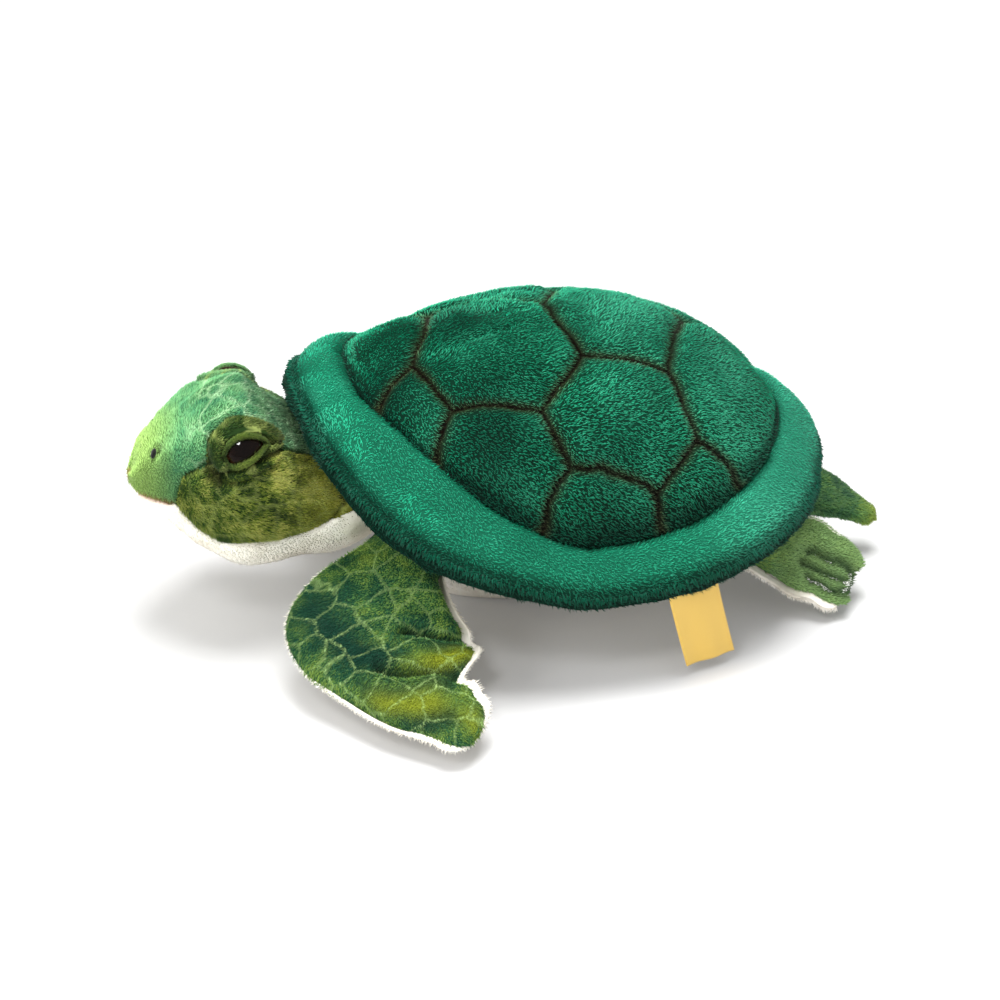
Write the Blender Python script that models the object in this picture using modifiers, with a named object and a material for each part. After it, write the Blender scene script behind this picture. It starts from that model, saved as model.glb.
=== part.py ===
"""A plush sea turtle lying on its belly: sewn panels of short plush over soft filling.

Metres, +Z up. The turtle faces -Y and its left side is +X. The origin is on the ground
under the middle of the shell. Every stuffed form is a surface worked out by a function,
and its panels and its filling are slices of that one surface at different depths.
"""
from math import pi, radians

import bmesh
import bpy
import numpy as np
from mathutils import Matrix, Vector

# Cloth and clearances
SKIN = 0.0016
SEAM_GAP = 0.0003
FILL_GAP = 0.0004
SEAT_GAP = 0.0003
RESTING_CUT = 0.0005
WELD_DISTANCE = SEAM_GAP / 30
SHARP_EDGE_ANGLE = radians(50)

# Seam line round the shell, where the dome panel meets the belly panel
SEAM_HALF_WIDTH = 0.072
SEAM_FRONT_REACH = 0.080
SEAM_REAR_REACH = 0.088
SEAM_SIDE_HEIGHT = 0.054
SEAM_FRONT_RISE = 0.047
SEAM_REAR_RISE = 0.020
PLAN_ROUNDNESS_SHARE = 2.2
FRONT_SADDLE_SHARE = 0.12

# Dome above the seam and belly below it
DOME_RISE = 0.065
DOME_TOP_LEAD = 0.012
BELLY_FLAT_HALF_WIDTH = 0.015
BELLY_FLAT_HALF_LENGTH = 0.046
BELLY_BOW_SHARE = 1.35

# Padded brim round the seam
BRIM_SIDE_REACH = 0.017
BRIM_FRONT_REACH = 0.024
BRIM_REAR_REACH = 0.020
BRIM_SIDE_DROP = 0.014
BRIM_FRONT_DROP = 0.006
BRIM_REAR_DROP = 0.018
BRIM_SHOULDER_DROP = 0.014
BRIM_TUCK = 0.004
BRIM_HALF_THICKNESS = 0.0085
BRIM_FRONT_HALF_THICKNESS = 0.0062

# Head, measured forward from its neck pivot
NECK_SETBACK = 0.012
NECK_DROP = 0.001
NECK_RADIUS = 0.030
NECK_HALF_WIDTH = 0.031
NECK_HEIGHT = SEAM_SIDE_HEIGHT - NECK_DROP
SKULL_REACH = 0.031
MUZZLE_LENGTH = 0.040
HEAD_HALF_WIDTH = 0.0385
HEAD_CROWN_HEIGHT = 0.043
HEAD_CHIN_DEPTH = 0.0385
HEAD_RISE = 0.008
MUZZLE_POINT_SHARE = 0.75
HEAD_ROUNDNESS_SHARE = 2.15

# Plastic eyes
EYE_RADIUS = 0.0072
EYE_BULGE = 0.0044
EYE_SHANK_RADIUS = 0.0018
EYE_SHANK_LENGTH = 0.0085
WASHER_RADIUS = 0.0060
WASHER_THICKNESS = 0.0012
WASHER_CLEARANCE = 0.0034
LID_THICKNESS = 0.0014
LID_REACH_ANGLE = radians(68)
UPPER_LID_ANGLE = radians(52)
LOWER_LID_ANGLE = radians(46)
EYE_FORWARD = 0.0300
EYE_ANGLE = radians(57)

# Embroidered nostrils
NOSTRIL_HALF_WIDTH = 0.0011
NOSTRIL_HALF_HEIGHT = 0.0019
NOSTRIL_HALF_DEPTH = 0.0005
NOSTRIL_SETBACK = 0.0085
NOSTRIL_ANGLE = radians(44)

# How far every limb's hinge stands out of the belly's side
HINGE_STAND_OFF = 0.0025

# Front flippers: an ellipsoid root on the shoulder hinge, then a blade that turns rearward
FRONT_FLIPPER_LENGTH = 0.115
FRONT_FLIPPER_HALF_CHORD = 0.0335
FRONT_FLIPPER_HALF_THICKNESS = 0.0085
FRONT_ROOT_HALF_WIDTH = 0.015
FRONT_ROOT_RADIUS = 0.0085
FRONT_FLIPPER_SAG = 0.006
FRONT_ROOT_HEIGHT = 0.040
FRONT_ROOT_ANGLE = radians(-56)
FRONT_FLIPPER_HEADING_ANGLE = radians(-41)
FRONT_FLIPPER_TURN_ANGLE = radians(85)
FRONT_FLIPPER_PITCH_ANGLE = radians(-14)
FRONT_FLIPPER_ROLL_ANGLE = radians(-10)

# Rear flippers
REAR_FLIPPER_LENGTH = 0.055
REAR_FLIPPER_HALF_CHORD = 0.0175
REAR_FLIPPER_HALF_THICKNESS = 0.0065
REAR_ROOT_HALF_WIDTH = 0.011
REAR_ROOT_RADIUS = 0.0065
REAR_FLIPPER_SAG = 0.002
REAR_ROOT_HEIGHT = 0.030
REAR_ROOT_ANGLE = radians(62)
REAR_FLIPPER_HEADING_ANGLE = radians(66)
REAR_FLIPPER_TURN_ANGLE = radians(0)
REAR_FLIPPER_PITCH_ANGLE = radians(-20)
REAR_FLIPPER_ROLL_ANGLE = radians(24)

# Tail
TAIL_LENGTH = 0.061
TAIL_ROOT_RADIUS = 0.0120
TAIL_ARCH = 0.001
TAIL_ROOT_HEIGHT = 0.043
TAIL_PITCH_ANGLE = radians(-26)

# Satin care label
LABEL_WIDTH = 0.022
LABEL_LENGTH = 0.033
LABEL_THICKNESS = 0.0005
LABEL_CURL = 0.0015
LABEL_LEAN_ANGLE = radians(14)
LABEL_PLACE_ANGLE = radians(21)

# How finely each form is divided
SHELL_COLUMNS = 36
DOME_ROWS = 8
BELLY_ROWS = 6
BRIM_COLUMNS = 36
BRIM_SIDES = 8
HEAD_REAR_ROWS = 4
HEAD_FRONT_ROWS = 12
PANEL_COLUMNS = 5
FRONT_FLIPPER_ROWS = 9
FLIPPER_COLUMNS = 6
REAR_FLIPPER_ROWS = 5
TAIL_ROWS = 5
LID_ROWS = 4
LID_COLUMNS = 9
LABEL_CELLS = 4
EYE_ROWS = 5
ROOT_ROWS = 3
TIP_ROWS = 3
FINE_STEPS = 241
TURNED_STEPS = 16
CUTTER_SIDES = 20
NOSTRIL_SIDES = 12

# Widths and thicknesses of the limbs, as shares of the largest, at shares of the way out
FRONT_WIDTH_SHARES = ((0.0, FRONT_ROOT_HALF_WIDTH / FRONT_FLIPPER_HALF_CHORD), (0.12, 0.52),
                      (0.26, 0.80), (0.42, 1.0), (0.55, 0.90), (0.70, 0.68), (0.85, 0.54), (1.0, 0.32))
REAR_WIDTH_SHARES = ((0.0, REAR_ROOT_HALF_WIDTH / REAR_FLIPPER_HALF_CHORD), (0.3, 0.78),
                     (0.6, 0.94), (0.8, 1.0), (1.0, 0.82))
FLIPPER_THICKNESS_SHARES = ((0.0, 1.0), (0.3, 1.0), (0.6, 0.78), (0.85, 0.55), (1.0, 0.42))
TAIL_SHARES = ((0.0, 1.0), (0.35, 0.96), (0.6, 0.82), (0.8, 0.62), (1.0, 0.46))

# Seams of the head: angle from the crown, as shares of a half turn, at shares of the way
# from the neck pivot to the nose
CROWN_SEAM_SHARES = ((0.0, 0.30), (0.14, 0.24), (0.34, 0.17), (0.46, 0.17), (0.58, 0.25),
                     (0.64, 0.34), (0.73, 0.41), (0.78, 0.48), (1.0, 0.49))
CHIN_SEAM_SHARES = ((0.0, 0.55), (0.10, 0.58), (0.25, 0.62), (0.55, 0.62), (0.73, 0.54),
                    (0.78, 0.50), (1.0, 0.49))
CHEEK_START_SHARE = 0.78

SIDE_SHARES = (("left", 1), ("right", -1))


def material(name, colour, roughness, metallic=0.0):
    """A plain finish with one colour."""
    finish = bpy.data.materials.new(name)
    finish.use_nodes = True
    shader = finish.node_tree.nodes["Principled BSDF"]
    shader.inputs["Base Color"].default_value = (*colour, 1.0)
    shader.inputs["Roughness"].default_value = roughness
    shader.inputs["Metallic"].default_value = metallic
    return finish


def smooth_table(table, at):
    """A smooth curve through a table of (place, share), eased between its points."""
    places, shares = np.array(table).T
    slopes = np.gradient(shares, places)
    index = np.clip(np.searchsorted(places, at, side="right") - 1, 0, len(places) - 2)
    span = places[index + 1] - places[index]
    t = np.clip((at - places[index]) / span, 0.0, 1.0)
    start = (1 + 2 * t) * (1 - t) ** 2 * shares[index] + t * (1 - t) ** 2 * span * slopes[index]
    end = t * t * (3 - 2 * t) * shares[index + 1] - t * t * (1 - t) * span * slopes[index + 1]
    return start + end


def shrink(points, centre, halves, depth):
    """The same points drawn in towards a centre, by a depth at the ends of each half size."""
    centre = np.array(centre)
    return centre + (points - centre) * (1 - depth / np.array(halves))


def triangles(rows, columns, wrap=False):
    """Two triangles for each cell of a grid of points numbered row by row, all cut the same way.

    wrap joins the last column to the first.
    """
    row, column = np.meshgrid(
        np.arange(rows - 1), np.arange(columns if wrap else columns - 1), indexing="ij")
    after = (column + 1) % columns
    corners = (row * columns + column, row * columns + after,
               (row + 1) * columns + after, (row + 1) * columns + column)
    first = np.stack([corners[0], corners[1], corners[2]], -1)
    second = np.stack([corners[0], corners[2], corners[3]], -1)
    return np.concatenate([first.reshape(-1, 3), second.reshape(-1, 3)])


def make_solid(name, points, faces, finish):
    """One closed body in the turtle's collection, with doubles welded and faces pointing out."""
    mesh = bpy.data.meshes.new(name)
    mesh.from_pydata(points.reshape(-1, 3).tolist(), [], [list(face) for face in faces])
    shape = bmesh.new()
    shape.from_mesh(mesh)
    bmesh.ops.remove_doubles(shape, verts=shape.verts, dist=WELD_DISTANCE)
    bmesh.ops.dissolve_degenerate(shape, edges=shape.edges, dist=WELD_DISTANCE)
    bmesh.ops.recalc_face_normals(shape, faces=shape.faces)
    shape.to_mesh(mesh)
    shape.free()
    mesh.shade_smooth()
    mesh.set_sharp_from_angle(angle=SHARP_EDGE_ANGLE)
    return add_object(name, mesh, finish)


def add_object(name, mesh, finish):
    """A named object in the turtle's collection."""
    thing = bpy.data.objects.new(name, mesh)
    mesh.materials.clear()
    mesh.materials.append(finish)
    turtle.objects.link(thing)
    return thing


def make_panel(name, outer, inner, finish, wrap=False):
    """A sewn panel: an outer and an inner sheet of points, closed along the panel's edges."""
    rows, columns = outer.shape[:2]
    sheet = triangles(rows, columns, wrap)
    count = rows * columns
    faces = [*sheet.tolist(), *(sheet[:, ::-1] + count).tolist()]
    edges = [np.arange(columns), (rows - 1) * columns + np.arange(columns)]
    if wrap:
        edges = [np.append(edge, edge[0]) for edge in edges]
    else:
        edges += [np.arange(rows) * columns, np.arange(rows) * columns + columns - 1]
    for edge in edges:
        line = outer.reshape(-1, 3)[edge]
        if np.ptp(line, axis=0).max() > WELD_DISTANCE:
            faces += [[a, b, b + count, a + count] for a, b in zip(edge[:-1], edge[1:])]
    return make_solid(name, np.concatenate([outer.reshape(-1, 3), inner.reshape(-1, 3)]),
                      faces, finish)


def make_filling(name, points, finish):
    """A closed solid from a grid whose columns join up and whose end rows are single points."""
    rows, columns = points.shape[:2]
    return make_solid(name, points, triangles(rows, columns, wrap=True), finish)


def cut(thing, cutter):
    """Takes a cutter's shape out of a solid."""
    hollow = thing.modifiers.new(cutter.name, "BOOLEAN")
    hollow.operation = "DIFFERENCE"
    hollow.solver = "EXACT"
    hollow.object = cutter


def hidden_cutter(name, shape):
    """A hidden object from a finished shape, to be taken out of other pieces."""
    bmesh.ops.recalc_face_normals(shape, faces=shape.faces)
    mesh = bpy.data.meshes.new(name)
    shape.to_mesh(mesh)
    shape.free()
    cutter = bpy.data.objects.new(name, mesh)
    cutters.objects.link(cutter)
    cutter.hide_render = True
    cutter.display_type = "WIRE"
    return cutter


def round_cutter(name, frame, halves):
    """An ellipsoid whose axes lie along a frame's axes, its flat facets outside the true form."""
    shape = bmesh.new()
    bmesh.ops.create_uvsphere(
        shape, u_segments=CUTTER_SIDES, v_segments=CUTTER_SIDES // 2,
        radius=1 / np.cos(pi / CUTTER_SIDES) ** 2, matrix=frame @ Matrix.Diagonal((*halves, 1)))
    return hidden_cutter(name, shape)


def drill(name, frame, radius, top, bottom):
    """A round hole along a frame's Z axis, from height top down to height bottom."""
    shape = bmesh.new()
    bmesh.ops.create_cone(shape, cap_ends=True, segments=TURNED_STEPS, radius1=radius,
                          radius2=radius, depth=top - bottom,
                          matrix=frame @ Matrix.Translation((0, 0, (top + bottom) / 2)))
    return hidden_cutter(name, shape)


def turned(name, profile, frame, finish):
    """A turned solid: a profile of (radius, height) carried round the frame's Z axis."""
    shape = bmesh.new()
    points = [shape.verts.new((radius, 0, height)) for radius, height in profile]
    rim = [*zip(points, points[1:])]
    if profile[0][0] > 0:
        rim.append((points[-1], points[0]))
    for pair in rim:
        shape.edges.new(pair)
    mesh = bpy.data.meshes.new(name)
    shape.to_mesh(mesh)
    shape.free()
    thing = add_object(name, mesh, finish)
    thing.matrix_world = frame
    screw = thing.modifiers.new("turn", "SCREW")
    screw.steps = screw.render_steps = TURNED_STEPS
    screw.use_merge_vertices = True
    screw.merge_threshold = WELD_DISTANCE
    return thing


def pivot(name, place):
    """An empty on a joint's axis, which carries the pieces that move about it."""
    empty = bpy.data.objects.new(name, None)
    empty.location = place
    empty.empty_display_size = EYE_RADIUS
    turtle.objects.link(empty)
    bpy.context.view_layer.update()
    return empty


def carry(empty, pieces):
    """Parents pieces to a pivot without moving them."""
    for piece in pieces:
        piece.parent = empty
        piece.matrix_parent_inverse = Matrix.Translation(-empty.location)


def seam_line(direction):
    """The shell's seam: a rounded oval in plan that rises like a saddle towards both ends."""
    across, along = np.cos(direction), np.sin(direction)
    power = 2 / PLAN_ROUNDNESS_SHARE
    reach = np.where(along < 0, SEAM_FRONT_REACH, SEAM_REAR_REACH)
    x = SEAM_HALF_WIDTH * np.sign(across) * np.abs(across) ** power
    y = reach * np.sign(along) * np.abs(along) ** power
    climb = np.abs(along)
    front = climb ** 2 * (1 + FRONT_SADDLE_SHARE) / (climb + FRONT_SADDLE_SHARE)
    rise = np.where(along < 0, SEAM_FRONT_RISE * front, SEAM_REAR_RISE * climb ** 2)
    return np.stack([x, y, SEAM_SIDE_HEIGHT + rise], -1)


def dome(direction, climb):
    """The dome: quarter ellipses from the seam up to one top point; climb is 0 to a quarter turn."""
    seam = seam_line(direction)
    top = np.array([0, -DOME_TOP_LEAD, SEAM_SIDE_HEIGHT + DOME_RISE])
    plan = top + (seam - top) * np.cos(climb)[..., None]
    height = seam[..., 2] + (top[2] - seam[..., 2]) * np.sin(climb)
    return np.concatenate([plan[..., :2], height[..., None]], -1)


def belly(direction, drop):
    """The belly: from the seam (drop 0) a bowed side runs down to a flat oval (1) and its middle (2)."""
    seam = seam_line(direction)
    flat = np.stack([BELLY_FLAT_HALF_WIDTH * np.cos(direction),
                     BELLY_FLAT_HALF_LENGTH * np.sin(direction)], -1)
    side = np.clip(drop, 0, 1)[..., None]
    middle = np.clip(drop - 1, 0, 1)[..., None]
    plan = (seam[..., :2] * (1 - side) + flat * side) * (1 - middle)
    height = (seam[..., 2] + RESTING_CUT) * (1 - side[..., 0]) ** BELLY_BOW_SHARE - RESTING_CUT
    return np.concatenate([plan, np.maximum(height, 0)[..., None]], -1)


def trunk_surface():
    """Grid of the whole trunk, from the top point down over the seam to the middle of the belly."""
    direction = np.arange(SHELL_COLUMNS) * 2 * pi / SHELL_COLUMNS
    gap_climb = SEAM_GAP / 2 / DOME_RISE
    gap_drop = SEAM_GAP / 2 / SEAM_SIDE_HEIGHT
    climbs = np.append(np.linspace(pi / 2, 0, DOME_ROWS, endpoint=False), gap_climb)
    drops = np.concatenate([[gap_drop], np.linspace(0, 1, BELLY_ROWS + 1)[1:], [2]])
    upper = dome(direction[None, :], np.repeat(climbs[:, None], SHELL_COLUMNS, 1))
    lower = belly(direction[None, :], np.repeat(drops[:, None], SHELL_COLUMNS, 1))
    return np.concatenate([upper, lower]), len(climbs)


def brim_section(direction, turn):
    """The brim: a leaning oval section outside the seam; turn 0 is its outer edge, a quarter its top."""
    seam = seam_line(direction)
    along = np.sin(direction)
    climb = np.abs(along)
    end_reach = np.where(along < 0, BRIM_FRONT_REACH, BRIM_REAR_REACH)
    end_drop = np.where(along < 0, BRIM_FRONT_DROP, BRIM_REAR_DROP)
    reach = BRIM_SIDE_REACH + (end_reach - BRIM_SIDE_REACH) * climb ** 2
    shoulder = np.where(along < 0, BRIM_SHOULDER_DROP * 4 * climb ** 2 * (1 - climb ** 2), 0)
    drop = BRIM_SIDE_DROP + (end_drop - BRIM_SIDE_DROP) * climb ** 2 + shoulder
    thin = np.where(along < 0, BRIM_HALF_THICKNESS - BRIM_FRONT_HALF_THICKNESS, 0) * climb ** 2
    half = (reach - SEAT_GAP) / 2
    outward = np.stack([np.cos(direction), along], -1)
    away = SEAT_GAP + half * (1 + np.cos(turn))
    plan = seam[..., :2] + outward * away[..., None]
    height = (seam[..., 2] - BRIM_TUCK - drop / 2 - drop / 2 * np.cos(turn)
              + (BRIM_HALF_THICKNESS - thin) * np.sin(turn))
    return np.concatenate([plan, height[..., None]], -1)


def head_surface(forward, angle):
    """The head about its neck pivot: a round neck end, a skull and a blunt muzzle.

    forward is the distance from the pivot towards the nose, and angle runs from the crown
    (0) over the left side (a quarter turn) to the chin (half a turn). Behind the pivot the
    form is turned about the pivot's left-right axis, so it can nod in its seat.
    """
    behind = forward < 0
    closing = np.sqrt(np.clip(1 - (forward / NECK_RADIUS) ** 2, 0, 1))
    growing = np.clip(forward / SKULL_REACH, 0, 1)
    eased = growing ** 3 * (10 - 15 * growing + 6 * growing ** 2)
    muzzle = np.clip((forward - SKULL_REACH) / MUZZLE_LENGTH, 0, 1)
    point = np.clip(1 - muzzle ** 2, 0, 1) ** MUZZLE_POINT_SHARE
    width = np.where(behind, NECK_HALF_WIDTH * closing,
                     (NECK_HALF_WIDTH + (HEAD_HALF_WIDTH - NECK_HALF_WIDTH) * eased) * point)
    tall = np.where(np.cos(angle) > 0, HEAD_CROWN_HEIGHT, HEAD_CHIN_DEPTH)
    height = np.where(behind, NECK_RADIUS * closing,
                      (NECK_RADIUS + (tall - NECK_RADIUS) * eased) * point)
    rise = np.where(behind, 0, HEAD_RISE * eased)
    power = np.where(behind, 1, 1 + (2 / HEAD_ROUNDNESS_SHARE - 1) * eased)
    side, up = np.sin(angle), np.cos(angle)
    x = width * np.sign(side) * np.abs(side) ** power
    z = rise + height * np.sign(up) * np.abs(up) ** power
    place = np.array(NECK_PIVOT)
    return place + np.stack([x, -forward + 0 * x, z], -1)


def head_grid():
    """Rows along the head and columns round it, with a pair of columns at every seam."""
    nose = SKULL_REACH + MUZZLE_LENGTH
    rear = -NECK_RADIUS * np.cos(np.linspace(0, pi / 2, HEAD_REAR_ROWS, endpoint=False))
    front = nose * np.sin(np.linspace(0, pi / 2, HEAD_FRONT_ROWS))
    forward = np.concatenate([rear, front])
    share = np.clip(forward / nose, 0, 1)
    crown = smooth_table(CROWN_SEAM_SHARES, share) * pi
    chin = smooth_table(CHIN_SEAM_SHARES, share) * pi
    gap = SEAM_GAP / 2 / HEAD_HALF_WIDTH
    chin = np.where(share > CHEEK_START_SHARE, crown + 2 * gap, np.maximum(chin, crown + 2 * gap))
    steps = np.linspace(0, 1, PANEL_COLUMNS)
    start, end = crown + gap, chin - gap
    left = start[:, None] + (end - start)[:, None] * steps
    under = (chin + gap)[:, None] + (2 * (pi - chin - gap))[:, None] * np.linspace(
        0, 1, 2 * PANEL_COLUMNS - 1)
    over = (-crown + gap)[:, None] + (2 * (crown - gap))[:, None] * np.linspace(
        0, 1, 2 * PANEL_COLUMNS - 1)
    right = 2 * pi - left[:, ::-1]
    bands = {"crown": over, "left": left, "chin": under, "right": right}
    cheek_rows = int(np.argmax(share > CHEEK_START_SHARE)) + 1
    return forward, bands, cheek_rows


def limb_frame(place, heading, pitch, roll):
    """Axes of a left limb: X out along its root, Y along its hinge, Z through it."""
    turn = (Matrix.Rotation(heading, 4, "Z") @ Matrix.Rotation(-pitch, 4, "Y")
            @ Matrix.Rotation(roll, 4, "X"))
    return Matrix.Translation(place) @ turn @ Matrix.Translation((HINGE_STAND_OFF, 0, 0))


def limb_surface(limb, depth):
    """A stuffed limb in its own frame: oval sections along a line that turns rearward.

    Behind the hinge the form is an ellipsoid turned about the hinge. Beyond it the section
    follows the tables of shares, and the last part closes in a round tip. depth draws the
    straight form in on all sides, before the line is turned and sagged.
    """
    length, half_chord, half_thickness = limb["length"], limb["half_chord"], limb["half_thickness"]
    root_radius = limb["root_radius"]
    tip = half_chord * limb["widths"][-1][1]
    rear = -root_radius * np.cos(np.linspace(0, pi / 2, ROOT_ROWS, endpoint=False))
    front = np.linspace(0, length - tip, limb["rows"], endpoint=False)
    end = length - tip + tip * np.sin(np.linspace(0, pi / 2, TIP_ROWS))
    along = np.concatenate([rear, front, end])
    closing = np.sqrt(np.clip(1 - (along / root_radius) ** 2, 0, 1))
    rounding = np.sqrt(np.clip(1 - ((along - length + tip) / tip) ** 2, 0, 1))
    ending = np.where(along > length - tip, rounding, 1)
    share = np.clip(along / (length - tip), 0, 1)
    thick = half_thickness * smooth_table(limb["thicknesses"], share) * ending
    blade = smooth_table(limb["widths"], share) * half_chord * ending
    width = np.where(along < 0, limb["root_half"] * closing, blade)
    thick = np.where(along < 0, root_radius * closing, thick)
    turn = np.linspace(0, pi, FLIPPER_COLUMNS)
    turn = np.concatenate([turn, turn + pi])
    straight = np.stack([along[:, None] + 0 * turn, width[:, None] * np.cos(turn),
                         thick[:, None] * np.sin(turn)], -1)
    straight = shrink(straight, ((length - root_radius) / 2, 0, 0),
                      ((length + root_radius) / 2, half_chord, half_thickness), depth)
    fine = np.linspace(0, 1, FINE_STEPS)
    bend = limb["turn"] * fine * fine * (3 - 2 * fine)
    step = length / (FINE_STEPS - 1)
    path_x = np.append(0, np.cumsum(np.cos((bend[1:] + bend[:-1]) / 2))) * step
    path_y = np.append(0, np.cumsum(np.sin((bend[1:] + bend[:-1]) / 2))) * step
    reach = straight[..., 0] / length
    aim = np.interp(reach, fine, bend)
    x = np.where(reach < 0, straight[..., 0], np.interp(reach, fine, path_x))
    y = np.interp(reach, fine, path_y)
    sag = limb["sag"] * (1 - np.cos(2 * pi * np.clip(reach, 0, 1))) / 2
    form = np.stack([x - straight[..., 1] * np.sin(aim), y + straight[..., 1] * np.cos(aim),
                     straight[..., 2] - sag], -1)
    form[:, :FLIPPER_COLUMNS, 2] += SEAM_GAP / 2
    form[:, FLIPPER_COLUMNS:, 2] -= SEAM_GAP / 2
    return form


def placed(frame, points):
    """Points moved by a frame."""
    matrix = np.array(frame)
    return points @ matrix[:3, :3].T + matrix[:3, 3]


def make_limb(label, limb, frame, top_finish, under_finish):
    """Top panel, underside panel and filling of one stuffed limb, and the seat that takes its root."""
    outer, inner, fill = (placed(frame, limb_surface(limb, depth))
                          for depth in (0, SKIN, SKIN + FILL_GAP))
    half = FLIPPER_COLUMNS
    top = make_panel(f"{label}_top_panel", outer[:, :half], inner[:, :half], top_finish)
    under = make_panel(f"{label}_underside_panel", outer[:, half:], inner[:, half:], under_finish)
    core = np.concatenate([fill[:, :half], fill[:, half + 1:-1]], 1)
    core[:, 0] = (fill[:, 0] + fill[:, -1]) / 2
    core[:, half - 1] = (fill[:, half - 1] + fill[:, half]) / 2
    stuffing = make_filling(f"{label}_stuffing", core, filling)
    seat = round_cutter(f"{label}_seat", frame, (
        limb["root_radius"] + SEAT_GAP, limb["root_half"] + SEAT_GAP, limb["root_radius"] + SEAT_GAP))
    for trunk_part in (belly_panel, body_stuffing):
        cut(trunk_part, seat)
    carry(pivot(f"{label}_hinge", frame.translation), (top, under, stuffing))


def belly_spot(direction, height):
    """The point of the belly's side in a direction, at a height above the ground."""
    drops = np.linspace(0, 1, FINE_STEPS)
    line = belly(np.full_like(drops, direction), drops)
    return Vector(line[np.argmin(np.abs(line[:, 2] - height))].tolist())


def head_spot(forward, angle):
    """A point on the head's left surface and the direction straight out of it."""
    here = head_surface(np.array(forward), np.array(angle))
    ahead = head_surface(np.array(forward + SEAM_GAP), np.array(angle)) - here
    round_ = head_surface(np.array(forward), np.array(angle + SEAM_GAP / HEAD_HALF_WIDTH)) - here
    return Vector(here.tolist()), Vector(np.cross(ahead, round_).tolist()).normalized()


def facing_frame(place, outward, side):
    """A frame whose Z axis points out of the left surface, mirrored to the right for side -1."""
    place = Vector((place.x * side, place.y, place.z))
    outward = Vector((outward.x * side, outward.y, outward.z))
    turn = outward.to_track_quat("Z", "Y").to_matrix().to_4x4()
    return Matrix.Translation(place) @ turn


def eye_profile():
    """Half section of a plastic eye: a domed front, a flat back and a shank behind it."""
    sweep = np.linspace(0, pi / 2, EYE_ROWS)
    front = [(EYE_RADIUS * np.sin(turn), EYE_BULGE * np.cos(turn)) for turn in sweep]
    shank = [(EYE_SHANK_RADIUS, 0), (EYE_SHANK_RADIUS, -EYE_SHANK_LENGTH), (0, -EYE_SHANK_LENGTH)]
    return [*front, *shank]


def ring_profile(inner, outer, thickness):
    """Half section of a flat ring, from its outer top edge round to its inner top edge."""
    return [(outer, thickness / 2), (outer, -thickness / 2), (inner, -thickness / 2),
            (inner, thickness / 2)]


def make_lid(name, frame, start, close):
    """An eyelid: a lens-shaped part of a ball's shell round the eye, closed by an angle from start."""
    inner = np.array((EYE_RADIUS, EYE_RADIUS, EYE_BULGE)) + SEAT_GAP
    across = np.linspace(-LID_REACH_ANGLE, LID_REACH_ANGLE, LID_COLUMNS)
    share = np.linspace(0, 1, LID_ROWS)
    bow = np.sqrt(np.clip(np.cos(across * pi / 2 / LID_REACH_ANGLE), 0, 1))
    level = start + close * share[:, None] * bow[None, :]
    x = np.sin(across)[None, :] + 0 * level
    y = np.cos(across)[None, :] * np.cos(level)
    z = np.cos(across)[None, :] * np.sin(level)
    ball = np.stack([x, y, z], -1)
    return make_panel(name, placed(frame, ball * (inner + LID_THICKNESS)),
                      placed(frame, ball * inner), cheek_plush)


def make_eye(side_name, side, cheek):
    """One eye: domed plastic on the cloth, its shank through the cloth, and a washer behind it."""
    place, outward = head_spot(EYE_FORWARD, EYE_ANGLE)
    frame = facing_frame(place, outward, side) @ Matrix.Translation((0, 0, SEAT_GAP))
    eye = turned(f"eye_{side_name}", eye_profile(), frame, eye_plastic)
    depth = SKIN + WASHER_CLEARANCE + WASHER_THICKNESS / 2
    washer = turned(f"eye_washer_{side_name}", ring_profile(
        EYE_SHANK_RADIUS + SEAT_GAP, WASHER_RADIUS, WASHER_THICKNESS),
        frame @ Matrix.Translation((0, 0, -depth)), washer_plastic)
    cut(cheek, drill(f"shank_hole_{side_name}", frame, EYE_SHANK_RADIUS + SEAT_GAP,
                     EYE_RADIUS, -EYE_SHANK_LENGTH - SEAT_GAP))
    cut(head_stuffing, drill(f"washer_pocket_{side_name}", frame, WASHER_RADIUS + SEAT_GAP,
                             EYE_RADIUS, -EYE_SHANK_LENGTH - SEAT_GAP))
    upper = make_lid(f"upper_eyelid_{side_name}", frame, 0, UPPER_LID_ANGLE)
    lower = make_lid(f"lower_eyelid_{side_name}", frame, pi, -LOWER_LID_ANGLE)
    return [eye, washer, upper, lower]


def make_nostril(side_name, side):
    """One nostril: a flat oval pad of satin stitches on the snout."""
    place, outward = head_spot(SKULL_REACH + MUZZLE_LENGTH - NOSTRIL_SETBACK, NOSTRIL_ANGLE)
    frame = facing_frame(place, outward, side)
    lift = NOSTRIL_HALF_DEPTH + SEAT_GAP
    shape = bmesh.new()
    bmesh.ops.create_uvsphere(
        shape, u_segments=NOSTRIL_SIDES, v_segments=NOSTRIL_SIDES // 2, radius=1, matrix=(
        frame @ Matrix.Translation((0, 0, lift))
        @ Matrix.Diagonal((NOSTRIL_HALF_WIDTH, NOSTRIL_HALF_HEIGHT, NOSTRIL_HALF_DEPTH, 1))))
    mesh = bpy.data.meshes.new(f"nostril_{side_name}")
    shape.to_mesh(mesh)
    shape.free()
    mesh.shade_smooth()
    return add_object(f"nostril_{side_name}", mesh, nostril_thread)


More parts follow.
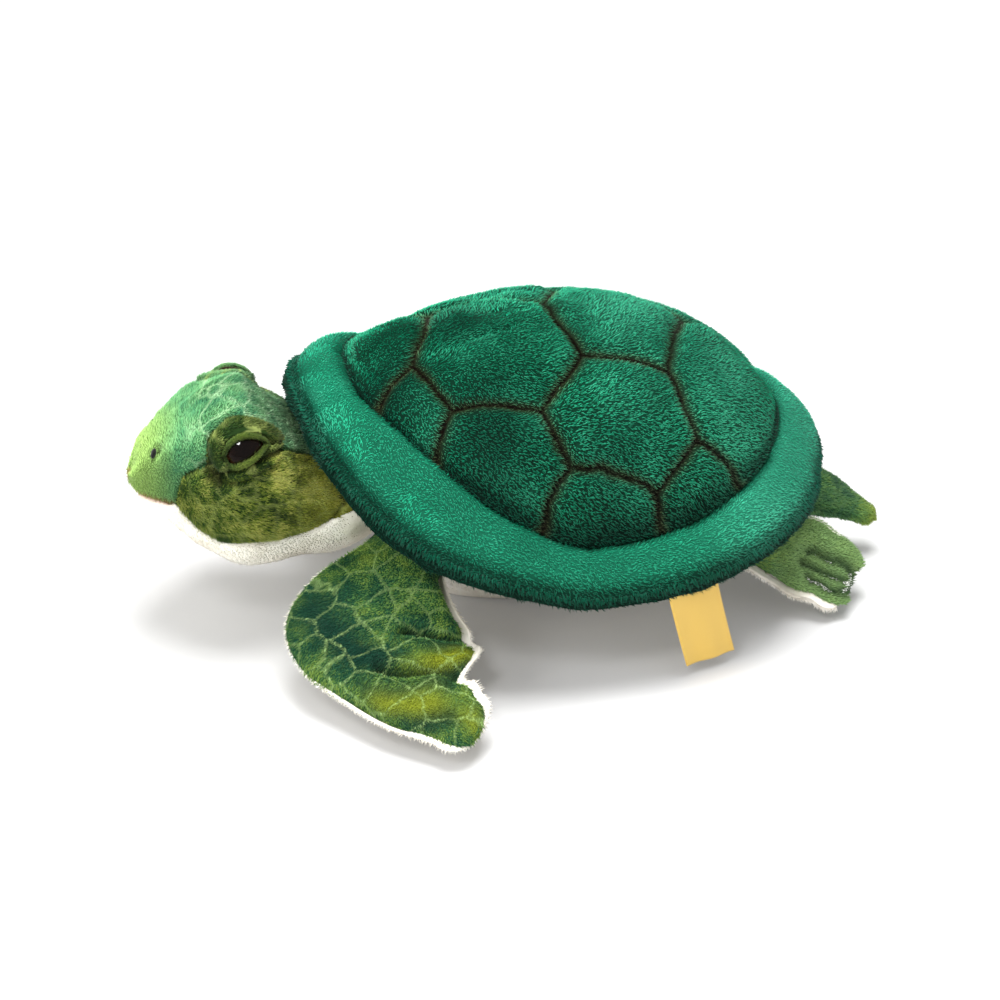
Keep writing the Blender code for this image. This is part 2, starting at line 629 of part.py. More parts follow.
def label_hinge():
    """The middle of the label's sewn edge, just under the lowest line of the brim."""
    turn = np.linspace(-pi / 2, 0, FINE_STEPS)
    under = brim_section(np.full_like(turn, LABEL_PLACE_ANGLE), turn)
    lowest = under[np.argmin(under[:, 2])]
    edge = Vector((-np.sin(LABEL_PLACE_ANGLE), np.cos(LABEL_PLACE_ANGLE), 0)) * LABEL_WIDTH
    below = Vector((lowest[0], lowest[1], 0))
    heights = [brim.ray_cast(below + edge * share, (0, 0, 1))[1].z
               for share in np.linspace(-0.5, 0.5, FINE_STEPS)]
    return Vector((lowest[0], lowest[1], min(heights) - SEAT_GAP))


def make_label():
    """The satin care label: a limp strip that hangs from the brim, leaning a little to the rear."""
    hinge = label_hinge()
    shape = bmesh.new()
    bmesh.ops.create_grid(shape, x_segments=LABEL_CELLS, y_segments=2 * LABEL_CELLS, size=LABEL_WIDTH / 2)
    for corner in shape.verts:
        across = corner.co.x
        down = LABEL_LENGTH / 2 - corner.co.y * LABEL_LENGTH / LABEL_WIDTH
        curl = LABEL_CURL * (down / LABEL_LENGTH) ** 2
        corner.co = (curl, across + down * np.tan(LABEL_LEAN_ANGLE), -down * np.cos(LABEL_LEAN_ANGLE))
    mesh = bpy.data.meshes.new("label")
    shape.to_mesh(mesh)
    shape.free()
    label = add_object("label", mesh, label_satin)
    label.matrix_world = Matrix.Translation(hinge) @ Matrix.Rotation(LABEL_PLACE_ANGLE, 4, "Z")
    thick = label.modifiers.new("cloth", "SOLIDIFY")
    thick.thickness = LABEL_THICKNESS
    thick.offset = 0
    bpy.context.view_layer.update()
    carry(pivot("label_hinge", hinge), [label])


for old in list(bpy.data.objects):
    bpy.data.objects.remove(old, do_unlink=True)
turtle = bpy.data.collections.new("plush_turtle")
cutters = bpy.data.collections.new("cutters")
bpy.context.scene.collection.children.link(turtle)
bpy.context.scene.collection.children.link(cutters)

shell_plush = material("shell_plush", (0.006, 0.180, 0.095), 0.85)
crown_plush = material("crown_plush", (0.235, 0.500, 0.205), 0.85)
cheek_plush = material("cheek_plush", (0.080, 0.130, 0.028), 0.85)
flipper_plush = material("flipper_plush", (0.100, 0.240, 0.060), 0.85)
white_plush = material("white_plush", (0.800, 0.760, 0.700), 0.9)
filling = material("polyester_filling", (0.850, 0.850, 0.830), 0.95)
eye_plastic = material("eye_plastic", (0.006, 0.004, 0.003), 0.08)
washer_plastic = material("washer_plastic", (0.750, 0.740, 0.700), 0.4)
nostril_thread = material("nostril_thread", (0.010, 0.009, 0.008), 0.6)
label_satin = material("label_satin", (0.780, 0.550, 0.120), 0.4)

# Trunk: dome panel, belly panel, filling
TRUNK_CENTRE = (0, 0, SEAM_SIDE_HEIGHT)
TRUNK_HALVES = (SEAM_HALF_WIDTH, (SEAM_FRONT_REACH + SEAM_REAR_REACH) / 2, SEAM_SIDE_HEIGHT)
trunk_outer, dome_rows = trunk_surface()
trunk_inner = shrink(trunk_outer, TRUNK_CENTRE, TRUNK_HALVES, SKIN)
trunk_fill = shrink(trunk_outer, TRUNK_CENTRE, TRUNK_HALVES, SKIN + FILL_GAP)
carapace = make_panel("carapace_panel", trunk_outer[:dome_rows], trunk_inner[:dome_rows],
                      shell_plush, wrap=True)
belly_panel = make_panel("belly_panel", trunk_outer[dome_rows:], trunk_inner[dome_rows:],
                         white_plush, wrap=True)
body_stuffing = make_filling("body_stuffing", trunk_fill, filling)

# Brim: one stuffed ring round the seam
ring_direction = np.arange(BRIM_COLUMNS) * 2 * pi / BRIM_COLUMNS
ring_turn = np.arange(BRIM_SIDES) * 2 * pi / BRIM_SIDES
ring = brim_section(ring_direction[:, None] + 0 * ring_turn, ring_turn + 0 * ring_direction[:, None])
ring = np.concatenate([ring, ring[:1]])
brim = make_solid("shell_rim", ring, triangles(BRIM_COLUMNS + 1, BRIM_SIDES, wrap=True), shell_plush)
bpy.context.view_layer.update()

# Head: crown, two cheeks, chin and filling, seated in a round hollow in the trunk
NECK_PIVOT = (0.0, -SEAM_FRONT_REACH - NECK_SETBACK, NECK_HEIGHT)
HEAD_CENTRE = (0.0, NECK_PIVOT[1] - (SKULL_REACH + MUZZLE_LENGTH - NECK_RADIUS) / 2,
               NECK_HEIGHT + HEAD_RISE)
HEAD_HALVES = (HEAD_HALF_WIDTH, (SKULL_REACH + MUZZLE_LENGTH + NECK_RADIUS) / 2, HEAD_CHIN_DEPTH)
head_forward, head_bands, cheek_rows = head_grid()
head_outer = {name: head_surface(head_forward[:, None] + 0 * band, band)
              for name, band in head_bands.items()}
head_inner = {name: shrink(sheet, HEAD_CENTRE, HEAD_HALVES, SKIN)
              for name, sheet in head_outer.items()}
head_parts = [
    make_panel("head_crown", head_outer["crown"], head_inner["crown"], crown_plush),
    make_panel("head_chin", head_outer["chin"], head_inner["chin"], white_plush),
]
for side_name, side in SIDE_SHARES:
    head_parts.append(make_panel(
        f"head_cheek_{side_name}", head_outer[side_name][:cheek_rows],
        head_inner[side_name][:cheek_rows], cheek_plush))
head_whole = np.concatenate([head_outer[name] for name in ("crown", "left", "chin", "right")], 1)
head_fill = shrink(head_whole, HEAD_CENTRE, HEAD_HALVES, SKIN + FILL_GAP)
head_stuffing = make_filling("head_stuffing", head_fill, filling)
head_parts.append(head_stuffing)
neck_seat = round_cutter("neck_seat", Matrix.Translation(NECK_PIVOT), (
    NECK_HALF_WIDTH + SEAT_GAP, NECK_RADIUS + SEAT_GAP, NECK_RADIUS + SEAT_GAP))
for trunk_part in (belly_panel, body_stuffing):
    cut(trunk_part, neck_seat)
for side_name, side in SIDE_SHARES:
    cheek = bpy.data.objects[f"head_cheek_{side_name}"]
    head_parts += make_eye(side_name, side, cheek)
    head_parts.append(make_nostril(side_name, side))
bpy.context.view_layer.update()
carry(pivot("neck", NECK_PIVOT), head_parts)

# Flippers and tail
FRONT_FLIPPER = {
    "length": FRONT_FLIPPER_LENGTH, "half_chord": FRONT_FLIPPER_HALF_CHORD,
    "half_thickness": FRONT_FLIPPER_HALF_THICKNESS, "root_half": FRONT_ROOT_HALF_WIDTH,
    "root_radius": FRONT_ROOT_RADIUS, "turn": FRONT_FLIPPER_TURN_ANGLE, "sag": FRONT_FLIPPER_SAG,
    "widths": FRONT_WIDTH_SHARES, "thicknesses": FLIPPER_THICKNESS_SHARES,
    "rows": FRONT_FLIPPER_ROWS}
REAR_FLIPPER = {
    "length": REAR_FLIPPER_LENGTH, "half_chord": REAR_FLIPPER_HALF_CHORD,
    "half_thickness": REAR_FLIPPER_HALF_THICKNESS, "root_half": REAR_ROOT_HALF_WIDTH,
    "root_radius": REAR_ROOT_RADIUS, "turn": REAR_FLIPPER_TURN_ANGLE, "sag": REAR_FLIPPER_SAG,
    "widths": REAR_WIDTH_SHARES, "thicknesses": FLIPPER_THICKNESS_SHARES,
    "rows": REAR_FLIPPER_ROWS}
TAIL = {
    "length": TAIL_LENGTH, "half_chord": TAIL_ROOT_RADIUS, "half_thickness": TAIL_ROOT_RADIUS,
    "root_half": TAIL_ROOT_RADIUS, "root_radius": TAIL_ROOT_RADIUS, "turn": 0, "sag": -TAIL_ARCH,
    "widths": TAIL_SHARES, "thicknesses": TAIL_SHARES, "rows": TAIL_ROWS}
front_frame = limb_frame(belly_spot(FRONT_ROOT_ANGLE, FRONT_ROOT_HEIGHT),
                         FRONT_FLIPPER_HEADING_ANGLE, FRONT_FLIPPER_PITCH_ANGLE, FRONT_FLIPPER_ROLL_ANGLE)
rear_frame = limb_frame(belly_spot(REAR_ROOT_ANGLE, REAR_ROOT_HEIGHT),
                        REAR_FLIPPER_HEADING_ANGLE, REAR_FLIPPER_PITCH_ANGLE, REAR_FLIPPER_ROLL_ANGLE)
tail_frame = limb_frame(belly_spot(pi / 2, TAIL_ROOT_HEIGHT), pi / 2, TAIL_PITCH_ANGLE, 0)
for side_name, side in SIDE_SHARES:
    mirror = Matrix.Diagonal((side, 1, 1, 1))
    make_limb(f"front_flipper_{side_name}", FRONT_FLIPPER, mirror @ front_frame,
              flipper_plush, white_plush)
    make_limb(f"rear_flipper_{side_name}", REAR_FLIPPER, mirror @ rear_frame,
              flipper_plush, white_plush)
make_limb("tail", TAIL, tail_frame, flipper_plush, flipper_plush)

# Care label
make_label()
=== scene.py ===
# %% [markdown]
# # A plush sea turtle, dressed for the camera
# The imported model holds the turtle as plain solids: panels, fillings, eyes and a care label.
# This file gives each of them its looks. Everything is in metres, the turtle faces -Y, its
# left side is +X, and the ground is at height 0. Each soft piece is one surface that a
# function works out on a grid, and its pile is many thousand short tufts standing on it.

# %% Load the frame
from math import pi, radians

import bpy
import numpy as np
from mathutils import Matrix, Vector


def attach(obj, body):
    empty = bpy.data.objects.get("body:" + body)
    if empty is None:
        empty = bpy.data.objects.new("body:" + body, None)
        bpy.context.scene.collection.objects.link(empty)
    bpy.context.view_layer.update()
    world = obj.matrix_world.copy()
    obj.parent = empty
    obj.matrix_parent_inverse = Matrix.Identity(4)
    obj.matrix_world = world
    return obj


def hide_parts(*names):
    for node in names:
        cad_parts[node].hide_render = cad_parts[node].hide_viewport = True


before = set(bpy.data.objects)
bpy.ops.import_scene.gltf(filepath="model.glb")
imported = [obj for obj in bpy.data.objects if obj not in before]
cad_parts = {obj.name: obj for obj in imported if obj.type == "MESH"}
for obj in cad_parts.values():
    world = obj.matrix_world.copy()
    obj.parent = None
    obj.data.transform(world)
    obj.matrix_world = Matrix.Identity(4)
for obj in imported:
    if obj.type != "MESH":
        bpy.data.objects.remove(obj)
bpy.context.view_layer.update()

# %% [markdown]
# ## Camera and light
# The photograph was taken from the turtle's left, a little ahead of it and from above, with
# a long lens. The camera stands there. The light is a plain soft studio: a wide lamp above,
# two weak ones to the sides, and a pale world that fills the shadows.

# %% Camera
CAMERA_TURN = radians(10)
CAMERA_RAISE = radians(29)
CAMERA_DISTANCE = 1.150
CAMERA_SHIFT = (-0.020, 0.030)
FOCAL_SHARE = 2.875

camera_back = np.array([np.cos(CAMERA_TURN) * np.cos(CAMERA_RAISE),
                        -np.sin(CAMERA_TURN) * np.cos(CAMERA_RAISE), np.sin(CAMERA_RAISE)])
camera_right = np.array([np.sin(CAMERA_TURN), np.cos(CAMERA_TURN), 0])
camera_up = np.cross(camera_back, camera_right)
camera_place = (CAMERA_SHIFT[0] * camera_right + CAMERA_SHIFT[1] * camera_up
                + CAMERA_DISTANCE * camera_back)
camera = bpy.data.objects.new("camera", bpy.data.cameras.new("camera"))
camera.data.sensor_width = 36
camera.data.lens = camera.data.sensor_width * FOCAL_SHARE
camera.matrix_world = Matrix([[*row, place] for row, place in zip(
    np.stack([camera_right, camera_up, camera_back], 1), camera_place)] + [[0, 0, 0, 1]])
bpy.context.scene.collection.objects.link(camera)
bpy.context.scene.camera = camera
bpy.context.scene.view_settings.view_transform = "Standard"
print("camera at", np.round(camera_place, 3), "lens", camera.data.lens)

# %% [markdown]
# Colours are written as they look on screen, as hex values, and shaders work in linear
# light, so one function turns one into the other. Another adds a shader node.

# %% Colour and node helpers
def linear(hex_colour):
    """Linear colour of an sRGB hex value: c/12.92 when dark, otherwise ((c+0.055)/1.055)^2.4."""
    tones = np.array([int(hex_colour[i:i + 2], 16) for i in (1, 3, 5)]) / 255
    light = np.where(tones <= 0.04045, tones / 12.92, ((tones + 0.055) / 1.055) ** 2.4)
    return (*light.tolist(), 1.0)


def node(tree, kind, inputs=None, **settings):
    """Adds one node: settings are its properties, inputs its socket values or what feeds them."""
    new = tree.nodes.new(kind)
    for name, value in settings.items():
        setattr(new, name, value)
    for socket, value in (inputs or {}).items():
        if isinstance(value, bpy.types.NodeSocket):
            tree.links.new(value, new.inputs[socket])
        else:
            new.inputs[socket].default_value = value
    return new


def new_material(name):
    """A node material with nothing in it yet, and the node tree to build in."""
    material = bpy.data.materials.new(name)
    material.use_nodes = True
    material.node_tree.nodes.clear()
    return material, material.node_tree

# %% [markdown]
# A studio of real lamps could be built with stands and reflectors. Square area lamps do the
# same with soft shadows, and are quick to move until the shadows lie as in the photograph.

# %% Lamps
def lamp(name, place, aim, size, watts):
    """A square area lamp at a place, facing a point."""
    light = bpy.data.lights.new(name, "AREA")
    light.size = size
    light.energy = watts
    thing = bpy.data.objects.new(name, light)
    thing.matrix_world = Matrix.LocRotScale(
        Vector(place), (Vector(place) - Vector(aim)).to_track_quat("Z", "Y"), None)
    bpy.context.scene.collection.objects.link(thing)
    return thing


overhead = lamp("overhead_softbox", (-0.10, 0.05, 1.20), (0, 0, 0), 0.7, 24.0)
lamp("front_softbox", (0.75, -0.55, 1.15), (0, 0, 0.05), 0.3, 5.0)
nose = lamp("nose_softbox", (0.50, -1.30, 0.70), (0, -0.1, 0.05), 0.8, 11.0)
overhead.visible_glossy = nose.visible_glossy = False

# %% [markdown]
# The world fills the shadows and shows white behind the turtle. It is nearly dark to what
# mirrors it, so that the glossy eyes keep one small highlight. The floor is a sweep of white
# paper: it glows a little to the camera, which hides where it ends, and is dark to the eyes.

# %% World
FILL_LIGHT, MIRRORED_LIGHT, SHOWN_LIGHT = 0.80, 0.08, 1.0

world = bpy.data.worlds.new("pale_studio")
world.use_nodes = True
bpy.context.scene.world = world
tree = world.node_tree
tree.nodes.clear()
seen = node(tree, "ShaderNodeLightPath").outputs
fill, mirrored, shown = (
    node(tree, "ShaderNodeBackground", {"Color": linear("#FFFFFF"), "Strength": strength}).outputs[0]
    for strength in (FILL_LIGHT, MIRRORED_LIGHT, SHOWN_LIGHT))
both = node(tree, "ShaderNodeMixShader", {0: seen["Is Glossy Ray"], 1: fill, 2: mirrored})
both = node(tree, "ShaderNodeMixShader", {0: seen["Is Camera Ray"], 1: both.outputs[0], 2: shown})
node(tree, "ShaderNodeOutputWorld", {0: both.outputs[0]})
print("world:", len(tree.nodes), "nodes")

# %% Paper floor
BOUNCED_PAPER, SEEN_PAPER, MIRRORED_PAPER = "#E6E6E6", "#C4C4C4", "#404040"
PAPER_GLOW = 0.04
FLOOR_HALF = 6.0

floor_material, tree = new_material("white_paper_sweep")
seen = node(tree, "ShaderNodeLightPath").outputs
paper = node(tree, "ShaderNodeMixRGB", {
    0: seen["Is Camera Ray"], 1: linear(BOUNCED_PAPER), 2: linear(SEEN_PAPER)})
paper = node(tree, "ShaderNodeMixRGB", {
    0: seen["Is Glossy Ray"], 1: paper.outputs[0], 2: linear(MIRRORED_PAPER)})
matt = node(tree, "ShaderNodeBsdfPrincipled", {
    "Base Color": paper.outputs[0], "Roughness": 0.9, "Specular IOR Level": 0.1})
unlit, glow = (node(tree, "ShaderNodeEmission", {"Color": linear("#FFFFFF"), "Strength": strength}).outputs[0]
               for strength in (0.0, PAPER_GLOW))
glow = node(tree, "ShaderNodeMixShader", {0: seen["Is Camera Ray"], 1: unlit, 2: glow})
total = node(tree, "ShaderNodeAddShader", {0: matt.outputs[0], 1: glow.outputs[0]})
node(tree, "ShaderNodeOutputMaterial", {0: total.outputs[0]})

floor_mesh = bpy.data.meshes.new("floor")
floor_corners = [(x * FLOOR_HALF, y * FLOOR_HALF, 0) for x, y in ((-1, -1), (1, -1), (1, 1), (-1, 1))]
floor_mesh.from_pydata(floor_corners, [], [(0, 1, 2, 3)])
floor = bpy.data.objects.new("floor", floor_mesh)
floor.data.materials.append(floor_material)
bpy.context.scene.collection.objects.link(floor)
print("floor:", 2 * FLOOR_HALF, "m square")

# %% [markdown]
# ## Tools for cloth
# Smooth random values give cloth its small unevenness. Blender's noise textures could do it
# too, but only in a shader or one point at a time. Here whole arrays are worked out at once,
# and the same seed always gives the same cloth.

# %% Random fields
HASH_FACTORS = (374761393, 668265263, 2147483647)
HASH_STIR = 1274126177
HASH_RANGE = 0xffffffff


def wobble(points, size, seed):
    """Smooth random values from -1 to 1: hashed values at the corners of cubes of one size,
    blended across each cube with eased weights."""
    place = points / size
    low = np.floor(place)
    t = place - low
    t = t * t * (3 - 2 * t)
    low = low.astype(np.int64)
    value = 0
    for corner in np.ndindex(2, 2, 2):
        mixed = sum((low[..., i] + corner[i]) * HASH_FACTORS[i] for i in range(3))
        mixed = (mixed + seed * HASH_STIR) & HASH_RANGE
        mixed = ((mixed ^ (mixed >> 13)) * HASH_STIR) & HASH_RANGE
        weight = 1
        for i in range(3):
            weight = weight * (t[..., i] if corner[i] else 1 - t[..., i])
        value = value + weight * ((mixed ^ (mixed >> 16)) / HASH_RANGE)
    return 2 * value - 1

# %% [markdown]
# Every soft form is a grid of points, so its normals come from the cross product of its two
# directions. Folds, grooves and faded prints are all made with two curves: an eased step, and
# a bell that falls off on both sides of a line.

# %% Grids and curves
def unit(vectors):
    """Vectors divided by their lengths."""
    return vectors / np.maximum(np.linalg.norm(vectors, axis=-1, keepdims=True), 1e-12)


def slopes(points, wrap):
    """The two directions of a grid, down its rows and along its columns; wrap joins the columns."""
    down = np.gradient(points, axis=0)
    if wrap:
        around = (np.roll(points, -1, 1) - np.roll(points, 1, 1)) / 2
    else:
        around = np.gradient(points, axis=1)
    return down, around


def grid_normals(points, wrap=False):
    """Unit normals of a grid: the cross product of its two directions."""
    down, around = slopes(points, wrap)
    normal = unit(np.cross(down, around))
    for row, beside in ((0, 1), (-1, -2)):
        thin = np.linalg.norm(around[row], axis=-1).max() < 1e-5
        if thin:
            normal[row] = unit(normal[beside].mean(0))
    return normal


def outward_normals(points, like, wrap=False):
    """Unit normals of a grid, turned to the same side as the directions in like."""
    normal = grid_normals(points, wrap)
    return normal * np.sign((normal * like).sum(-1).mean())


def eased_table(table, at):
    """A smooth curve through a table of (place, share), eased between its points."""
    places, shares = np.array(table).T
    slope = np.gradient(shares, places)
    index = np.clip(np.searchsorted(places, at, side="right") - 1, 0, len(places) - 2)
    span = places[index + 1] - places[index]
    t = np.clip((at - places[index]) / span, 0.0, 1.0)
    start = (1 + 2 * t) * (1 - t) ** 2 * shares[index] + t * (1 - t) ** 2 * span * slope[index]
    end = t * t * (3 - 2 * t) * shares[index + 1] - t * t * (1 - t) * span * slope[index + 1]
    return start + end


def soft_step(value, low, high):
    """0 below low, 1 above high, eased between."""
    t = np.clip((value - low) / (high - low), 0, 1)
    return t * t * (3 - 2 * t)

def bell(distance, width):
    """1 at distance 0, falling off on both sides: e to the power of minus (distance / width) squared."""
    return np.exp(-(distance / width) ** 2)

# %% [markdown]
# A cover is a sewn panel: a grid turned into a mesh, with the cloth's thickness added inwards
# by a Solidify modifier. Points carry named values, such as how near a seam is, which the
# materials read. The map named OFBake lays the grid out flat.

# %% Meshes from grids
CLOTH_THICKNESS = 0.0012
SAME_PLACE = 1e-6


def build_mesh(name, places, faces, uv, values):
    """A mesh from arrays: points, faces, one map place for each face corner, and named values.

    A corner that repeats the one before it is dropped, so a square at a pole becomes a
    triangle, and points that no face uses are left out.
    """
    kept = faces != np.roll(faces, 1, axis=1)
    sides = kept.sum(1)
    used, corners = np.unique(faces[kept], return_inverse=True)
    mesh = bpy.data.meshes.new(name)
    mesh.vertices.add(len(used))
    mesh.vertices.foreach_set("co", places[used].astype(np.float32).ravel())
    mesh.loops.add(len(corners))
    mesh.loops.foreach_set("vertex_index", corners.astype(np.int32).ravel())
    mesh.polygons.add(len(faces))
    mesh.polygons.foreach_set("loop_start", (np.cumsum(sides) - sides).astype(np.int32))
    mesh.uv_layers.new(name="OFBake").data.foreach_set("uv", uv[kept].astype(np.float32).ravel())
    for key, value in values.items():
        kind, field = ("FLOAT_VECTOR", "vector") if value.ndim == 2 else ("FLOAT", "value")
        layer = mesh.attributes.new(key, kind, "POINT")
        layer.data.foreach_set(field, value[used].astype(np.float32).ravel())
    mesh.update(calc_edges=True)
    mesh.validate()
    mesh.shade_smooth()
    return mesh


def grid_faces(rows, columns, wrap, flip):
    """Four-sided faces of a grid, and the map place of each of their corners."""
    row, column = np.meshgrid(np.arange(rows - 1), np.arange(columns - (0 if wrap else 1)),
                              indexing="ij")
    row, column = row.ravel(), column.ravel()
    after = (column + 1) % columns
    order = [3, 2, 1, 0] if flip else [0, 1, 2, 3]
    corners = np.stack([row * columns + column, row * columns + after,
                        (row + 1) * columns + after, (row + 1) * columns + column], 1)
    across = max(columns - (0 if wrap else 1), 1)
    u = np.stack([column, column + 1, column + 1, column], 1) / across
    v = np.stack([row, row, row + 1, row + 1], 1) / (rows - 1)
    return corners[:, order], np.stack([u, v], -1)[:, order]


def add_piece(name, mesh, material, body):
    """A piece of the turtle at the origin, which moves with a body."""
    piece = bpy.data.objects.new(name, mesh)
    mesh.materials.append(material)
    bpy.context.scene.collection.objects.link(piece)
    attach(piece, body)
    return piece


def thicken(piece, thickness, offset):
    """Gives a sheet its thickness: all of it inwards for an offset of -1, half each way for 0."""
    wall = piece.modifiers.new("cloth", "SOLIDIFY")
    wall.thickness = thickness
    wall.offset = offset


def cover(name, points, up, material, body, values, wrap=False, thick=True):
    """A panel of cloth from a grid of points, welded where a row is one point or meets another.

    up gives the outward normals, or is None for a closed form about its own middle.
    """
    rows, columns = points.shape[:2]
    if up is None:
        up = points - points.mean((0, 1))
    flip = (grid_normals(points, wrap) * up).sum() > 0
    faces, uv = grid_faces(rows, columns, wrap, flip)
    owner = np.arange(rows * columns)
    for row in (0, rows - 1):
        if np.ptp(points[row], axis=0).max() < SAME_PLACE:
            owner[row * columns:(row + 1) * columns] = row * columns
    if np.abs(points[0] - points[-1]).max() < SAME_PLACE:
        owner[(rows - 1) * columns:] = np.arange(columns)
    flat = {key: value.reshape(rows * columns, *value.shape[2:]) for key, value in values.items()}
    flat["root"] = points.reshape(-1, 3)
    mesh = build_mesh(name, flat["root"], owner[faces], uv, flat)
    piece = add_piece(name, mesh, material, body)
    if thick:
        thicken(piece, CLOTH_THICKNESS, -1)
    print(name, len(mesh.vertices), "points")
    return piece

# %% [markdown]
# ## Pile
# The turtle's cloth is a knitted plush: fibres about 3 mm long that lie over in the direction
# they were brushed. Blender's hair could grow them, but hair is left out when the model is
# exported. Real fibres are also far too many, so each tuft here stands for a lock of them: a
# narrow closed spike of four triangles that leans along the brushed direction.

# %% Sowing
def sow(points, density, count, rng):
    """Random places spread over a grid by area: each one's row, column and shares of that cell."""
    side_a = points[1:, :-1] - points[:-1, :-1]
    side_b = points[:-1, 1:] - points[:-1, :-1]
    side_c = points[1:, 1:] - points[:-1, 1:]
    side_d = points[1:, 1:] - points[1:, :-1]
    area = (np.linalg.norm(np.cross(side_a, side_b), axis=-1)
            + np.linalg.norm(np.cross(side_c, side_d), axis=-1)) / 2
    if density is not None:
        area = area * (density[:-1, :-1] + density[1:, 1:]) / 2
    steps = np.cumsum(area.ravel())
    draw = (np.arange(count) + rng.random(count)) / count * steps[-1]
    cell = np.minimum(np.searchsorted(steps, draw), area.size - 1)
    return (*np.divmod(cell, points.shape[1] - 1), *rng.random((2, count)))

# %% Tufts
PILE_LENGTH, PILE_WIDTH, PILE_SINK = 0.0026, 0.00065, 0.0003
PILE_LEAN, LEAN_SPREAD = radians(24), radians(8)
LENGTH_SPREAD, WIDTH_SPREAD = (0.75, 1.15), (0.8, 1.2)
TUFT_FACES = np.array([[0, 1, 3], [1, 2, 3], [2, 0, 3], [0, 2, 1]])
TUFT_MAP = np.array([[1, 0], [-1, 0], [0, -1], [0, 1]]) * 0.35


def pile(name, points, normals, lay, count, material, body, values, seed,
         wrap=False, density=None, length=None, lean=PILE_LEAN, width=PILE_WIDTH, stray=0.35):
    """Tufts spread evenly over a grid by area. Each starts inside the cloth and leans along lay.

    values are carried from the cloth to each tuft; tip goes from 0 at the root to 1 at the
    point, and tint is one random value for each tuft.
    """
    rng = np.random.default_rng(seed)
    if wrap:
        ring = lambda grid: None if grid is None else np.concatenate([grid, grid[:, :1]], 1)
        points, normals, lay, density, length = map(ring, (points, normals, lay, density, length))
        values = {key: ring(value) for key, value in values.items()}
    rows, columns = points.shape[:2]
    row, column, s, t = sow(points, density, count, rng)

    def at(grid):
        """Blend of a grid's values at the tufts' places in their cells."""
        s_, t_ = (s, t) if grid.ndim == 2 else (s[:, None], t[:, None])
        return ((grid[row, column] * (1 - t_) + grid[row, column + 1] * t_) * (1 - s_)
                + (grid[row + 1, column] * (1 - t_) + grid[row + 1, column + 1] * t_) * s_)

    root, up = at(points), unit(at(normals))
    along = at(lay)
    along = unit(along - up * (along * up).sum(-1, keepdims=True))
    across = np.cross(along, up)
    turn = rng.normal(0, stray, count)[:, None]
    along, across = (along * np.cos(turn) + across * np.sin(turn),
                     across * np.cos(turn) - along * np.sin(turn))
    size = PILE_LENGTH * rng.uniform(*LENGTH_SPREAD, count)
    if length is not None:
        size = size * at(length)
    size = size[:, None]
    rise = lean + rng.normal(0, LEAN_SPREAD, count)[:, None]
    half = width / 2 * rng.uniform(*WIDTH_SPREAD, count)[:, None]
    foot = root - up * PILE_SINK
    point = root + along * size * np.cos(rise) + up * size * np.sin(rise)
    corners = np.stack([foot + across * half, foot - across * half, foot - along * half, point], 1)
    faces = (np.arange(count)[:, None, None] * 4 + TUFT_FACES).reshape(-1, 3)
    map_at = np.stack([(column + t) / (columns - 1), (row + s) / (rows - 1)], -1)
    corner_uv = (map_at[:, None, :] + TUFT_MAP / (columns, rows)).reshape(-1, 2)
    carried = {key: np.repeat(at(value), 4, axis=0) for key, value in values.items()}
    carried["root"] = np.repeat(root, 4, axis=0)
    carried["tip"] = np.tile([0.0, 0.0, 0.0, 1.0], count)
    carried["tint"] = np.repeat(rng.random(count), 4)
    mesh = build_mesh(name, corners.reshape(-1, 3), faces, corner_uv[faces], carried)
    piece = add_piece(name, mesh, material, body)
    print(name, count, "tufts")
    return piece

# %% [markdown]
# The plush itself is polyester, matt with a soft sheen at grazing angles. Its colour has three
# parts: the dye, painted shade that darkens each tuft towards its root and lightens its point,
# and broad patches where the pile was stroked another way. Prints, dyed seams, painted shade
# and painted highlights come as values that the pieces carry.
# The fine noise stands for single fibres and is drawn at 2.2 mm, coarser than they are, so
# that it shows.

# %% Plush material
BROAD_GAIN, FIBRE_GAIN, TONE_OFFSET = 1.6, 0.35, -0.48
FIBRE_NOISE_SIZE = 0.0022
# Painted shade along each tuft: its colour is scaled from the root's factor up to this at its point.
TIP_LIGHT = 1.15


